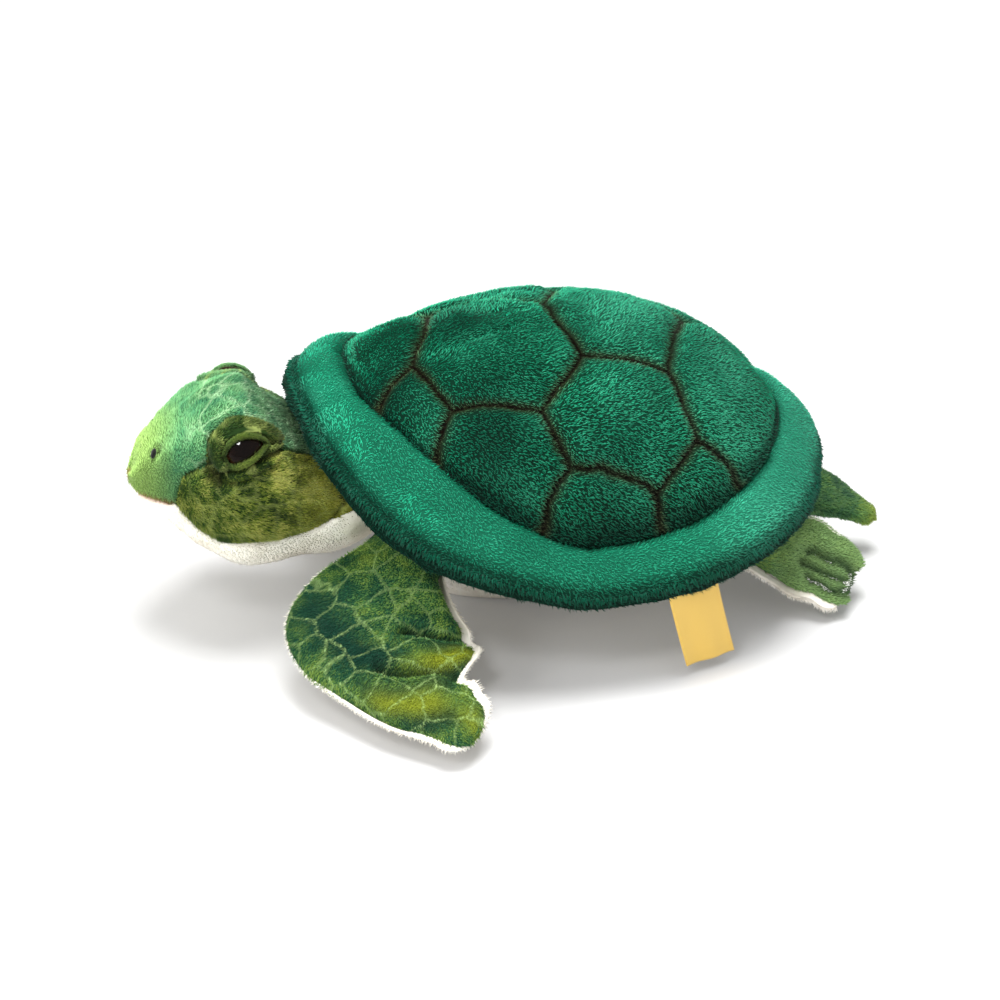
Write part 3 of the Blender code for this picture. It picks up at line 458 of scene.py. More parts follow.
def plush(name, dark, middle, light, prints=(), patch=0.016, painted_root_shade=0.10, sheen=0.03,
          grain=0.35, spread=0.35):
    """Dyed pile: three tones picked by noise and tint, overprinted, then darkened at the roots with painted
    shade.

    tone = 1.6 broad noise + 0.35 fine noise + grain x (tint - 0.5) - 0.48. prints are
    (value name, colour, strength), laid over the dye in that order.
    """
    material, tree = new_material(name)
    root = node(tree, "ShaderNodeAttribute", attribute_name="root").outputs["Vector"]
    tip, tint = (node(tree, "ShaderNodeAttribute", attribute_name=value).outputs["Fac"]
                 for value in ("tip", "tint"))
    broad, fine = (node(tree, "ShaderNodeTexNoise", {
        "Vector": root, "Scale": 1 / size, "Detail": detail, "Roughness": rough}).outputs["Fac"]
        for size, detail, rough in ((patch, 3.0, 0.6), (FIBRE_NOISE_SIZE, 2.0, 0.7)))
    tone = TONE_OFFSET - grain / 2
    for source, gain in ((broad, BROAD_GAIN), (fine, FIBRE_GAIN), (tint, grain)):
        tone = node(tree, "ShaderNodeMath", {0: source, 1: gain, 2: tone},
                    operation="MULTIPLY_ADD").outputs[0]
    ramp = node(tree, "ShaderNodeValToRGB", {"Fac": tone})
    first, last = ramp.color_ramp.elements
    first.position, first.color = 0.5 - spread, linear(dark)
    last.position, last.color = 0.5 + spread, linear(light)
    ramp.color_ramp.elements.new(0.5).color = linear(middle)
    colour = ramp.outputs["Color"]
    for value, shade, strength in prints:
        mask = node(tree, "ShaderNodeAttribute", attribute_name=value).outputs["Fac"]
        amount = node(tree, "ShaderNodeMath", {0: mask, 1: strength}, operation="MULTIPLY",
                      use_clamp=True).outputs[0]
        colour = node(tree, "ShaderNodeMixRGB", {0: amount, 1: colour, 2: linear(shade)}).outputs[0]
    # Painted shade: each tuft darkens from its point down to its root.
    depth = node(tree, "ShaderNodeMapRange", {
        "Value": tip, "To Min": painted_root_shade, "To Max": TIP_LIGHT}).outputs["Result"]
    shaded = node(tree, "ShaderNodeVectorMath", {0: colour, 1: depth}, operation="MULTIPLY").outputs[0]
    bump = node(tree, "ShaderNodeBump", {"Height": fine, "Strength": 0.4, "Distance": 0.0006})
    shader = node(tree, "ShaderNodeBsdfPrincipled", {
        "Base Color": shaded, "Roughness": 0.65, "Specular IOR Level": 0.10,
        "Sheen Weight": sheen, "Sheen Roughness": 0.45, "Normal": bump.outputs[0]})
    node(tree, "ShaderNodeOutputMaterial", {0: shader.outputs[0]})
    print("plush", name, "with", len(prints), "prints")
    return material

# %% [markdown]
# ## The shell's form
# The seam of the shell is a rounded oval that rises like a saddle to both ends. The dome is
# a set of quarter ellipses from the seam to one top point, and the belly bows down from the
# seam to a flat oval on the ground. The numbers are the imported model's own.

# %% Shell forms
SEAM_HALF_WIDTH, SEAM_FRONT_REACH, SEAM_REAR_REACH = 0.072, 0.080, 0.088
SEAM_SIDE_HEIGHT, SEAM_FRONT_RISE, SEAM_REAR_RISE = 0.054, 0.047, 0.020
PLAN_ROUNDNESS_SHARE, FRONT_SADDLE_SHARE = 2.2, 0.12
DOME_RISE, DOME_TOP_LEAD = 0.065, 0.012
BELLY_FLAT = (0.015, 0.046)
BELLY_BOW_SHARE = 1.35
RESTING_CUT = 0.0005


def seam_line(direction):
    """Oval in plan: x and y are powers of the cosine and sine; height rises to both ends."""
    across, along = np.cos(direction), np.sin(direction)
    power = 2 / PLAN_ROUNDNESS_SHARE
    reach = np.where(along < 0, SEAM_FRONT_REACH, SEAM_REAR_REACH)
    x = SEAM_HALF_WIDTH * np.sign(across) * np.abs(across) ** power
    y = reach * np.sign(along) * np.abs(along) ** power
    climb = np.abs(along)
    front = climb ** 2 * (1 + FRONT_SADDLE_SHARE) / (climb + FRONT_SADDLE_SHARE)
    rise = np.where(along < 0, SEAM_FRONT_RISE * front, SEAM_REAR_RISE * climb ** 2)
    return np.stack([x, y, SEAM_SIDE_HEIGHT + rise], -1)


def dome(direction, climb):
    """Quarter ellipses: plan shrinks to the top with the cosine of climb, height grows with its sine."""
    seam = seam_line(direction)
    top = np.array([0, -DOME_TOP_LEAD, SEAM_SIDE_HEIGHT + DOME_RISE])
    plan = top + (seam - top) * np.cos(climb)[..., None]
    height = seam[..., 2] + (top[2] - seam[..., 2]) * np.sin(climb)
    return np.concatenate([plan[..., :2], height[..., None]], -1)


def belly(direction, drop):
    """Bowed side from the seam (drop 0) to a flat oval (1), then in to its middle (2)."""
    seam = seam_line(direction)
    flat = np.stack([BELLY_FLAT[0] * np.cos(direction), BELLY_FLAT[1] * np.sin(direction)], -1)
    side = np.clip(drop, 0, 1)[..., None]
    middle = np.clip(drop - 1, 0, 1)[..., None]
    plan = (seam[..., :2] * (1 - side) + flat * side) * (1 - middle)
    height = (seam[..., 2] + RESTING_CUT) * (1 - side[..., 0]) ** BELLY_BOW_SHARE - RESTING_CUT
    return np.concatenate([plan, np.maximum(height, 0)[..., None]], -1)

# %% [markdown]
# The dome is quilted: stitched lines cut it into scutes, as on a real turtle's shell. The
# corners below were measured on the near side, in metres in plan, and are mirrored to the
# far side. Each line is lifted on to the dome and every grid point's distance to it is found.

# %% Scute lines
SCUTE_CORNERS = {
    "front": (-0.0094, -0.0466), "bend": (-0.0180, -0.0260), "middle": (-0.0073, -0.0026),
    "side_a": (0.0291, 0.0059), "side_b": (0.0500, -0.0135), "side_c": (0.0468, -0.0471),
    "side_d": (0.0228, -0.0582), "rim_d": (0.0345, -0.0760), "rim_c": (0.0590, -0.0570),
    "rear_a": (0.0336, 0.0382), "rear_b": (0.0553, 0.0453), "rear_c": (0.0674, 0.0269),
    "rear_d": (0.0644, -0.0047), "rim_b": (0.0725, -0.0190), "rear": (-0.0055, 0.0527),
    "rim_rear_b": (0.0540, 0.0680), "rim_rear_c": (0.0725, 0.0300), "rim_rear": (0.0, 0.0890)}
SPINE_LINES = (("front", "bend"), ("bend", "middle"), ("rear", "rim_rear"))
SIDE_LINES = (
    ("middle", "side_a"), ("side_a", "side_b"), ("side_b", "side_c"), ("side_c", "side_d"),
    ("side_d", "front"), ("side_d", "rim_d"), ("side_c", "rim_c"), ("side_a", "rear_a"),
    ("rear_a", "rear_b"), ("rear_b", "rear_c"), ("rear_c", "rear_d"), ("rear_d", "side_b"),
    ("rear_d", "rim_b"), ("rear_a", "rear"), ("rear_b", "rim_rear_b"), ("rear_c", "rim_rear_c"))
SPINE_NAMES = ("front", "bend", "middle", "rear", "rim_rear")
SCUTE_STEPS, SCUTE_BOW_SHARE = 12, 0.02


def plan_corner(name, side):
    """A corner's place in plan, mirrored for the far side unless it lies on the spine."""
    x, y = SCUTE_CORNERS[name]
    return np.array([x if name in SPINE_NAMES else x * side, y])


def scute_segments():
    """Both ends of every short piece of every line, lifted on to the dome."""
    direction = np.linspace(0, 2 * pi, 361)[:, None]
    climb = np.linspace(0, pi / 2, 91)[None, :]
    surface = dome(direction + 0 * climb, climb + 0 * direction).reshape(-1, 3)
    starts, ends = [], []
    routes = [(pair, 1) for pair in SPINE_LINES + SIDE_LINES] + [(pair, -1) for pair in SIDE_LINES]
    for number, ((a, b), side) in enumerate(routes):
        share = np.linspace(0, 1, SCUTE_STEPS)[:, None]
        first, last = plan_corner(a, side), plan_corner(b, side)
        aside = np.array([first[1] - last[1], last[0] - first[0]])
        bow = aside * SCUTE_BOW_SHARE * np.sin(pi * share) * (-1) ** number
        line = first + (last - first) * share + bow
        near = ((line[:, None, :] - surface[None, :, :2]) ** 2).sum(-1).argmin(1)
        lifted = np.concatenate([line, surface[near, 2:]], 1)
        starts.append(lifted[:-1])
        ends.append(lifted[1:])
    return np.concatenate(starts), np.concatenate(ends)


def distance_to(points, starts, ends):
    """Least distance from each point to a set of straight pieces."""
    flat = points.reshape(-1, 3)
    nearest = np.full(len(flat), 1.0)
    for start, end in zip(starts, ends):
        run = end - start
        share = np.clip(((flat - start) @ run) / (run @ run), 0, 1)
        gap = flat - start - share[:, None] * run
        nearest = np.minimum(nearest, np.sqrt((gap * gap).sum(1)))
    return nearest.reshape(points.shape[:-1])


line_starts, line_ends = scute_segments()
print(len(line_starts), "short pieces of scute line")

# %% [markdown]
# ## Puffed cloth
# The filling swells each sewn cell like a small cushion. Lifting each cell by a formula would
# give them all one section, so Blender's cloth works it out: a coarse copy of the panel is
# held along its stitched lines and blown up by pressure, and how far each point moved is read
# back on to the fine grid.

# %% Pressure
PUFF_FRAMES = 20
PUFF_PRESSURE = 4.0
LEAST_HOLD = 0.02
PUFF_CLOTH = {"vertex_group_mass": "pins", "use_pressure": True, "quality": 4,
              "tension_stiffness": 8, "compression_stiffness": 8, "bending_stiffness": 0.4}


def puff(points, held, most, strength=1.0):
    """Outward movement of a closed ring of points under pressure, held where held is 1, at most most."""
    rows, columns = points.shape[:2]
    mesh = bpy.data.meshes.new("puff")
    mesh.from_pydata(points.reshape(-1, 3).tolist(), [], grid_faces(rows, columns, True, False)[0].tolist())
    thing = bpy.data.objects.new("puff", mesh)
    bpy.context.scene.collection.objects.link(thing)
    pins = thing.vertex_groups.new(name="pins")
    for index in np.flatnonzero(held.ravel() > LEAST_HOLD):
        pins.add([int(index)], float(held.ravel()[index]), "REPLACE")
    cloth = thing.modifiers.new("cloth", "CLOTH")
    for setting, value in PUFF_CLOTH.items():
        setattr(cloth.settings, setting, value)
    cloth.settings.uniform_pressure_force = PUFF_PRESSURE * strength
    cloth.settings.effector_weights.gravity = 0
    cloth.collision_settings.use_collision = False
    cloth.point_cache.frame_start = 1
    cloth.point_cache.frame_end = PUFF_FRAMES
    scene = bpy.context.scene
    for step in range(1, PUFF_FRAMES + 1):
        scene.frame_set(step)
    shape = thing.evaluated_get(bpy.context.evaluated_depsgraph_get())
    moved = np.empty(rows * columns * 3, np.float32)
    shape.data.vertices.foreach_get("co", moved)
    scene.frame_set(1)
    bpy.data.objects.remove(thing)
    bpy.data.meshes.remove(mesh)
    rise = ((moved.reshape(rows, columns, 3) - points) * grid_normals(points, True)).sum(-1)
    print("puffed", rows, "x", columns, "points, by",
          np.round(np.percentile(rise, (5, 50, 99)) * 1e3, 2), "mm")
    return np.clip(np.abs(rise), 0, most)


def refine(coarse, rows, columns):
    """A coarse ring of values blended on to a finer one, with eased weights."""
    coarse = np.concatenate([coarse, coarse[:, :1]], 1)
    r = np.linspace(0, coarse.shape[0] - 1, rows)
    c = np.linspace(0, coarse.shape[1] - 1, columns + 1)[:-1]
    r0, c0 = np.minimum(r.astype(int), coarse.shape[0] - 2), np.minimum(c.astype(int), coarse.shape[1] - 2)
    s, t = (r - r0)[:, None], (c - c0)[None, :]
    s, t = s * s * (3 - 2 * s), t * t * (3 - 2 * t)
    part = lambda i, j: coarse[np.ix_(r0 + i, c0 + j)]
    return ((part(0, 0) * (1 - t) + part(0, 1) * t) * (1 - s)
            + (part(1, 0) * (1 - t) + part(1, 1) * t) * s)

# %% [markdown]
# ## Carapace
# The dome's panel goes from the seam up to the top, and a hem runs on below the seam. First
# the cells are puffed on a coarse grid. The simulated cells are then scaled so that one in
# five points is lifted by the whole height of a cell.

# %% Carapace cells
DOME_COLUMNS, DOME_ROWS, DOME_CROWDING_SHARE = 400, 92, 0.92
PUFF_COLUMNS, PUFF_ROWS = 120, 30
HEM_ROWS, HEM_SHARE = 7, 0.16
CELL_PUFF, CELL_REACH = 0.0022, 0.009
STITCH_HOLD = (0.0015, 0.0045)
FULL_PERCENTILE = 80


def dome_grid(rows, columns):
    """Direction and climb of a grid that runs from the seam to the top."""
    direction = np.arange(columns) * 2 * pi / columns
    climb = pi / 2 * np.linspace(0, 1, rows) ** DOME_CROWDING_SHARE
    return np.broadcast_arrays(direction[None, :], climb[:, None])


coarse = dome(*dome_grid(PUFF_ROWS, PUFF_COLUMNS))
coarse_gap = distance_to(coarse, line_starts, line_ends)
held = 1 - soft_step(coarse_gap, *STITCH_HOLD)
held[0] = held[-1] = 1
dome_puff = puff(coarse, held, CELL_PUFF)
if dome_puff.any():
    dome_puff = np.minimum(dome_puff * CELL_PUFF / np.percentile(dome_puff, FULL_PERCENTILE), CELL_PUFF)
else:
    dome_puff = CELL_PUFF * soft_step(coarse_gap, 0, CELL_REACH)

# %% [markdown]
# The fine grid takes the cells' lift, and the stitched lines press grooves into it. The lines
# are drawn a little unsteady, as a hand-guided machine sews them. The four dents are where the
# stuffing has sunk in the photograph.

# %% Carapace form
PILE_INSET = 0.0010
GROOVE_DEPTH, GROOVE_WIDTH = 0.0012, 0.0016
LINE_SHAKE, LINE_SHAKE_SIZE, LINE_SHAKE_SEEDS = 0.0007, 0.006, (3, 4, 5)
SHELL_DENTS = (((-0.034, -0.060), 0.020, 0.0058), ((-0.036, -0.035), 0.022, 0.0022),
               ((-0.025, 0.060), 0.022, 0.0030), ((-0.004, 0.082), 0.015, 0.0050))


def with_hem(points, direction):
    """The dome's grid with a hem: rows that run on below the seam, over the belly."""
    drop = np.linspace(HEM_SHARE, 0, HEM_ROWS, endpoint=False)[:, None]
    return np.concatenate([belly(direction[:1] + 0 * drop, drop + 0 * direction[:1]), points])


direction, climb = dome_grid(DOME_ROWS, DOME_COLUMNS)
shell = with_hem(dome(direction, climb), direction)
direction = np.concatenate([direction[:HEM_ROWS], direction])
climb = np.concatenate([np.broadcast_to(climb[:1], (HEM_ROWS, DOME_COLUMNS)), climb])
shell_up = outward_normals(shell, shell - (0, 0, SEAM_SIDE_HEIGHT), True)
shake = np.stack([wobble(shell, LINE_SHAKE_SIZE, seed) for seed in LINE_SHAKE_SEEDS], -1)
line_gap = distance_to(shell + LINE_SHAKE * shake, line_starts, line_ends)
lift = np.concatenate([np.zeros((HEM_ROWS, DOME_COLUMNS)), refine(dome_puff, DOME_ROWS, DOME_COLUMNS)])
lift = lift * soft_step(line_gap, 0, 0.005)
lift -= GROOVE_DEPTH * bell(line_gap, GROOVE_WIDTH) * soft_step(climb, 0.02, 0.14)
lift += 0.0006 * wobble(shell, 0.012, 1) + 0.0003 * wobble(shell, 0.005, 2)
lift *= soft_step(climb, -0.02, 0.06)
settle = soft_step(climb, 0.0, 0.05)
shell = shell + shell_up * (lift - (PILE_INSET + CELL_PUFF * 0.35) * settle)[..., None]
for (x, y), size, depth in SHELL_DENTS:
    shell[..., 2] -= depth * bell(np.hypot(shell[..., 0] - x, shell[..., 1] - y), size) * settle
shell_up = outward_normals(shell, shell_up, True)
print("shell stands", round(float(shell[..., 2].max() * 1e3), 1), "mm high")

# %% [markdown]
# The real panel is one piece of green plush. Its pile looks light where it catches the light and
# dark where it does not, so broad spots of painted highlight and painted shade are laid where
# they were seen, with a band of painted shade along the dome's foot by the brim. The stitched
# lines are dyed dark brown with a blurred olive edge.

# %% Carapace finish
LINE_HALF_WIDTH, LINE_BLUR, HALO_WIDTH = 0.0005, 0.0004, 0.0023
# Spots of painted shade, then of painted highlight: x, y, reach and strength of each.
PAINTED_SHADE_SPOTS = ((0.006, -0.038, 0.016, 0.8), (0.055, -0.034, 0.018, 1.0), (0.030, -0.068, 0.016, 1.0),
                (0.068, 0.010, 0.014, 0.6), (0.020, 0.020, 0.010, 0.3))
PAINTED_HIGHLIGHT_SPOTS = ((0.002, 0.026, 0.022, 1.0), (0.030, 0.062, 0.020, 0.8), (-0.020, -0.010, 0.020, 0.6),
               (0.045, 0.020, 0.014, 0.4), (-0.03, 0.06, 0.03, 0.6))


def shell_spots(places):
    """A sum of bells in plan; each place is x, y, reach and strength."""
    return sum(strength * bell(np.hypot(shell[..., 0] - x, shell[..., 1] - y), reach)
               for x, y, reach, strength in places)


# The band at the dome's foot is painted shade, as are the shade spots; the other spots are painted highlight.
shell_values = {
    "painted_foot_shade": 1 - soft_step(climb, 0.03, 0.22), "shade": shell_spots(PAINTED_SHADE_SPOTS),
    "painted_highlight": shell_spots(PAINTED_HIGHLIGHT_SPOTS),
    "line": bell(np.maximum(line_gap - LINE_HALF_WIDTH, 0), LINE_BLUR), "halo": bell(line_gap, HALO_WIDTH)}
# Over the dye: painted shade, painted highlight and a painted shade band at the foot, then the dyed lines.
shell_plush = plush("shell_plush_pile", "#0A8A62", "#16BC8A", "#46DAA6", prints=(
    ("shade", "#04644A", 0.75), ("painted_highlight", "#4CE0B0", 0.65), ("painted_foot_shade", "#05503C", 0.75),
    ("halo", "#6B6434", 0.75), ("line", "#2A1A0C", 1.0)), patch=0.022, painted_root_shade=0.09, grain=0.5, spread=0.27)
piece = cover("carapace_cover", shell, shell_up, shell_plush, "trunk", shell_values, wrap=True)
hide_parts("carapace_panel")

# %% [markdown]
# The pile was brushed down and rearwards, in swirls, and is short on the stitched lines. It is
# sown twice, because one piece with all of it would be too large to export whole.

# %% Carapace pile
SHELL_TUFTS, SHELL_TUFT_WIDTH = 30500, 0.00058


def brushed(points, direction, swirl, seed, size=0.030):
    """A direction in space at each point, turned sideways by smooth noise of up to swirl radians."""
    angle = swirl * wobble(points, size, seed) + 0.5 * swirl * wobble(points, size / 3, seed + 1)
    flow = np.broadcast_to(np.asarray(direction, float), points.shape)
    side = unit(np.cross(flow, np.array([0.0, 0.0, 1.0])))
    return unit(flow * np.cos(angle)[..., None] + side * np.sin(angle)[..., None])


down = dome(direction, np.maximum(climb - 0.02, 0)) - dome(direction, climb + 0.02)
shell_lay = brushed(shell, (0, 1, 0), 1.5, 11, 0.022) + 0.8 * unit(unit(down) + np.array([0, 0.7, 0]))
for sowing in (1, 2):
    pile(f"carapace_pile_{sowing}", shell, shell_up, shell_lay, SHELL_TUFTS, shell_plush, "trunk",
         shell_values, 20 + sowing, wrap=True, length=0.68 - 0.30 * shell_values["line"],
         width=SHELL_TUFT_WIDTH)

# %% [markdown]
# ## Brim
# A soft stuffed roll runs round the dome. Its section is a leaning oval, wide and thin at the
# front, and its two cloths meet in a stitched edge a little way in from the outer edge. The
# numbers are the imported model's own.

# %% Brim section
BRIM_SIDE_REACH, BRIM_FRONT_REACH, BRIM_REAR_REACH = 0.017, 0.024, 0.020
BRIM_SIDE_DROP, BRIM_FRONT_DROP, BRIM_REAR_DROP, BRIM_SHOULDER_DROP = 0.014, 0.006, 0.018, 0.014
BRIM_TUCK, BRIM_HALF_THICKNESS, BRIM_FRONT_HALF_THICKNESS = 0.004, 0.0085, 0.0062
SEAT_GAP = 0.0003


def brim_section(direction, turn):
    """Oval section outside the seam: turn 0 is its outer edge, a quarter its top, a half its inner edge."""
    seam = seam_line(direction)
    along = np.sin(direction)
    climb = np.abs(along)
    end_reach = np.where(along < 0, BRIM_FRONT_REACH, BRIM_REAR_REACH)
    end_drop = np.where(along < 0, BRIM_FRONT_DROP, BRIM_REAR_DROP)
    reach = BRIM_SIDE_REACH + (end_reach - BRIM_SIDE_REACH) * climb ** 2
    shoulder = np.where(along < 0, BRIM_SHOULDER_DROP * 4 * climb ** 2 * (1 - climb ** 2), 0)
    drop = BRIM_SIDE_DROP + (end_drop - BRIM_SIDE_DROP) * climb ** 2 + shoulder
    thin = np.where(along < 0, BRIM_HALF_THICKNESS - BRIM_FRONT_HALF_THICKNESS, 0) * climb ** 2
    half = (reach - SEAT_GAP) / 2
    outward = np.stack([np.cos(direction), along], -1)
    away = SEAT_GAP + half * (1 + np.cos(turn))
    plan = seam[..., :2] + outward * away[..., None]
    height = (seam[..., 2] - BRIM_TUCK - drop / 2 - drop / 2 * np.cos(turn)
              + (BRIM_HALF_THICKNESS - thin) * np.sin(turn))
    return np.concatenate([plan, height[..., None]], -1)


def brim_grid(rows, columns):
    """Direction round the turtle and turn round the section, from the inner edge back to it."""
    direction = np.arange(columns) * 2 * pi / columns
    turn = np.linspace(pi, 3 * pi, rows)
    return np.broadcast_arrays(direction[None, :], turn[:, None])


# %% [markdown]
# The brim is puffed by the cloth simulation too, held along its stitched edge and its seam.

# %% Brim puff
EDGE_TURN, EDGE_FRONT_TURN, EDGE_HOLD = 0.45, 0.35, 0.3
BRIM_PUFF_ROWS, BRIM_PUFF_COLUMNS = 17, 150
BRIM_PUFF, BRIM_PUFF_STRENGTH = 0.0016, 0.6


def frontness(direction):
    """1 straight ahead, falling with the square of the sine to 0 at the sides and behind."""
    return np.where(np.sin(direction) < 0, np.sin(direction) ** 2, 0)


def edge_gap(direction, turn):
    """How far round the section a point is from the stitched edge, in radians."""
    at = EDGE_TURN + EDGE_FRONT_TURN * frontness(direction)
    return (turn - at + pi) % (2 * pi) - pi


direction, turn = brim_grid(BRIM_PUFF_ROWS, BRIM_PUFF_COLUMNS)
held = bell(edge_gap(direction, turn), EDGE_HOLD)
held[0] = held[-1] = 1
brim_puff = puff(brim_section(direction, turn), np.round(held, 2), BRIM_PUFF, BRIM_PUFF_STRENGTH)

# %% [markdown]
# The fine form adds small creases and the stitched edge's ridge and groove. A few broad bells,
# each about one direction round the turtle, then bend the roll as the photograph shows it: it
# lies up on the near side and round the neck, and is drawn in under the dome.

# %% Brim form
BRIM_COLUMNS, BRIM_ROWS = 560, 57
BRIM_INSET = 0.0009
NEAR_SIDE_LIFT, REAR_QUARTER_LIFT, COLLAR_LIFT = 0.0054, 0.0035, 0.0055
FAR_FRONT_LIFT, FAR_REAR_LIFT = 0.0045, 0.0012
COLLAR_DRAW, QUARTER_DRAW, SEAM_DRAW = 0.0030, 0.0020, 0.0034

direction, turn = brim_grid(BRIM_ROWS, BRIM_COLUMNS)
ring = brim_section(direction, turn)
ring_up = outward_normals(ring, ring - ring.mean(0), True)
gap = edge_gap(direction, turn)
creases = wobble(np.stack([direction * 14, turn * 0.8, 0 * turn], -1), 1.0, 31)
lift = refine(brim_puff, BRIM_ROWS, BRIM_COLUMNS) * 0.6
lift += 0.0010 * wobble(ring, 0.022, 32) + 0.0005 * creases + 0.0004 * wobble(ring, 0.007, 33)
ridge = 0.25 + 0.75 * frontness(direction)
lift += ridge * (0.0008 * bell(gap + 0.06, 0.10) - 0.0016 * bell(gap - 0.15, 0.09))
lift -= 0.0022 * bell(direction - 2 * pi + 0.9, 0.22) * bell(turn - 2 * pi - 1.5, 0.5)
ring = ring + ring_up * (lift - BRIM_INSET)[..., None]
below, above = np.clip(-np.sin(turn), 0, 1), np.clip(np.sin(turn), 0, 1)
collar = bell(direction - 2 * pi + 0.85, 0.55) * bell(turn - 2 * pi - 2.1, 0.65)
ring[..., 2] += COLLAR_LIFT * collar
ring[..., 2] += below * (NEAR_SIDE_LIFT * bell(direction - 2 * pi * (direction > pi), 0.7)
                         + REAR_QUARTER_LIFT * bell(direction - 0.85, 0.35))
ring[..., 2] += above * (FAR_FRONT_LIFT * bell(direction - 4.15, 0.35)
                         + FAR_REAR_LIFT * bell(direction - 1.80, 0.35))
inward = (COLLAR_DRAW * collar + QUARTER_DRAW * bell(direction - 1.30, 0.26)
          + SEAM_DRAW * bell(np.minimum(turn - pi, 3 * pi - turn), 0.55))
ring[..., :2] -= inward[..., None] * unit(ring[..., :2])
ring[-1] = ring[0]
ring_up = outward_normals(ring, ring_up, True)

# %% [markdown]
# The brim's plush is the carapace's, with painted highlight on top and at the rear, and painted
# shade at its inner edge by the dome and in the groove beside the stitched edge. Below the
# stitched edge it is in shade and its roots show, and painted shade makes it nearly black there.
# The edge's own stitches are a row of wider tufts laid across it.

# %% Brim finish
BRIM_TUFTS, EDGE_STITCHES = 27000, 2600

# edge, lower and inner are painted shade; top and rear are painted highlight.
ring_values = {"edge": ridge * bell(gap - 0.15, 0.10),
               "lower": soft_step(0.76 - gap, 0.0, 0.95) * (1 - soft_step(-gap, 2.4, 3.0)),
               "top": soft_step(np.sin(turn), 0.55, 0.95), "inner": soft_step(np.cos(turn), -0.5, -0.95),
               "rear": soft_step(np.sin(direction), 0.30, 0.75) * soft_step(np.sin(turn), 0.0, 0.6)}
# Over the dye: painted highlight on top and at the rear, then painted shade at the inner edge, below the
# stitched edge and in its groove.
brim_plush = plush("brim_plush_pile", "#0C9C72", "#1CC090", "#50E0B2", prints=(
    ("top", "#40DAAA", 0.35), ("rear", "#58E8BC", 0.55), ("inner", "#067050", 0.8),
    ("lower", "#033C2C", 0.92), ("edge", "#05503A", 0.7)), patch=0.03, painted_root_shade=0.20, grain=0.4, spread=0.26)
piece = cover("brim_cover", ring, ring_up, brim_plush, "trunk", ring_values, wrap=True,
              thick=False)
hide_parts("shell_rim")
outward = np.stack([np.cos(direction), np.sin(direction), 0 * direction], -1)
ring_lay = brushed(ring, (0.15, 0.85, -0.25), 1.3, 41, 0.022) + 0.4 * outward
for sowing in (1, 2):
    pile(f"brim_pile_{sowing}", ring, ring_up, ring_lay, BRIM_TUFTS, brim_plush, "trunk",
         ring_values, 42 + sowing, wrap=True, density=0.25 + 0.75 * soft_step(ring[..., 2], 0.02, 0.045),
         length=np.full_like(turn, 0.68), width=SHELL_TUFT_WIDTH)
round_trip = np.stack([-np.sin(direction), np.cos(direction), 0 * direction], -1)
pile("brim_edge_stitches", ring, ring_up, np.cross(round_trip, ring_up), EDGE_STITCHES, brim_plush,
     "trunk", ring_values, 44, wrap=True, density=bell(gap + 0.02, 0.07),
     length=np.full_like(gap, 0.9), lean=radians(20), width=0.0014, stray=0.12)

# %% [markdown]
# ## Belly and filling
# The belly is short white plush. Its top edge is tucked in behind the brim, where the two
# would otherwise show a white line. The same white plush lines the flippers' undersides,
# where it is printed green under the rear toes.

# %% Belly
BELLY_COLUMNS, BELLY_ROWS, BELLY_TUFTS = 300, 64, 13000
BELLY_TUCK_IN, BELLY_TUCK_DOWN, BELLY_TUCK_SHARE = 0.0045, 0.0040, 0.10


def belly_grid(rows, columns):
    """Direction and drop of a grid from the seam to the middle of the belly."""
    direction = np.arange(columns) * 2 * pi / columns
    drop = np.concatenate([np.linspace(0, 1, rows - rows // 5)[:-1], np.linspace(1, 2, rows // 5 + 1)])
    return np.broadcast_arrays(direction[None, :], drop[:, None])


direction, drop = belly_grid(BELLY_ROWS, BELLY_COLUMNS)
under = belly(direction, drop)
under_up = outward_normals(under, under - (0, 0, 0.05), True)
lift = 0.0008 * wobble(under, 0.02, 51) - 0.0008
under = under + under_up * (lift * soft_step(under[..., 2], 0.0, 0.006))[..., None]
tucked = (1 - soft_step(drop, 0.0, BELLY_TUCK_SHARE))[..., None]
under = under - tucked * (BELLY_TUCK_IN * unit(under * (1, 1, 0)) + (0, 0, BELLY_TUCK_DOWN))
under_up = outward_normals(under, under_up, True)
white_plush = plush("white_plush_pile", "#DED7C8", "#F4EFE4", "#FFFDF6", (
    ("toe_tips", "#5E7E44", 0.95),), painted_root_shade=0.95)
piece = cover("belly_cover", under, under_up, white_plush, "trunk", {}, wrap=True)
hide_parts("belly_panel")
pile("belly_pile", under, under_up, brushed(under, (0, 1, -0.4), 0.8, 52), BELLY_TUFTS, white_plush,
     "trunk", {}, 53, wrap=True, length=np.full_like(drop, 0.7),
     density=soft_step(under[..., 2], 0.002, 0.01) * soft_step(drop, 0.04, 0.12))

# %% [markdown]
# Inside every soft part is loose polyester fibre. It never shows, so it is a plain closed form
# a few millimetres under the cloth, and a wave pattern stands for its strands. The body's
# filling is hollowed in front, where the neck's ball turns.

# %% Filling
FILLING_DEPTH = 0.0072
NECK_BALL = (0, -0.092, 0.053)
NECK_BALL_RADIUS, NECK_BALL_STRETCH = 0.039, 0.55
FILLING_ROWS, FILLING_BELLY_ROWS, FILLING_COLUMNS = 24, 20, 90

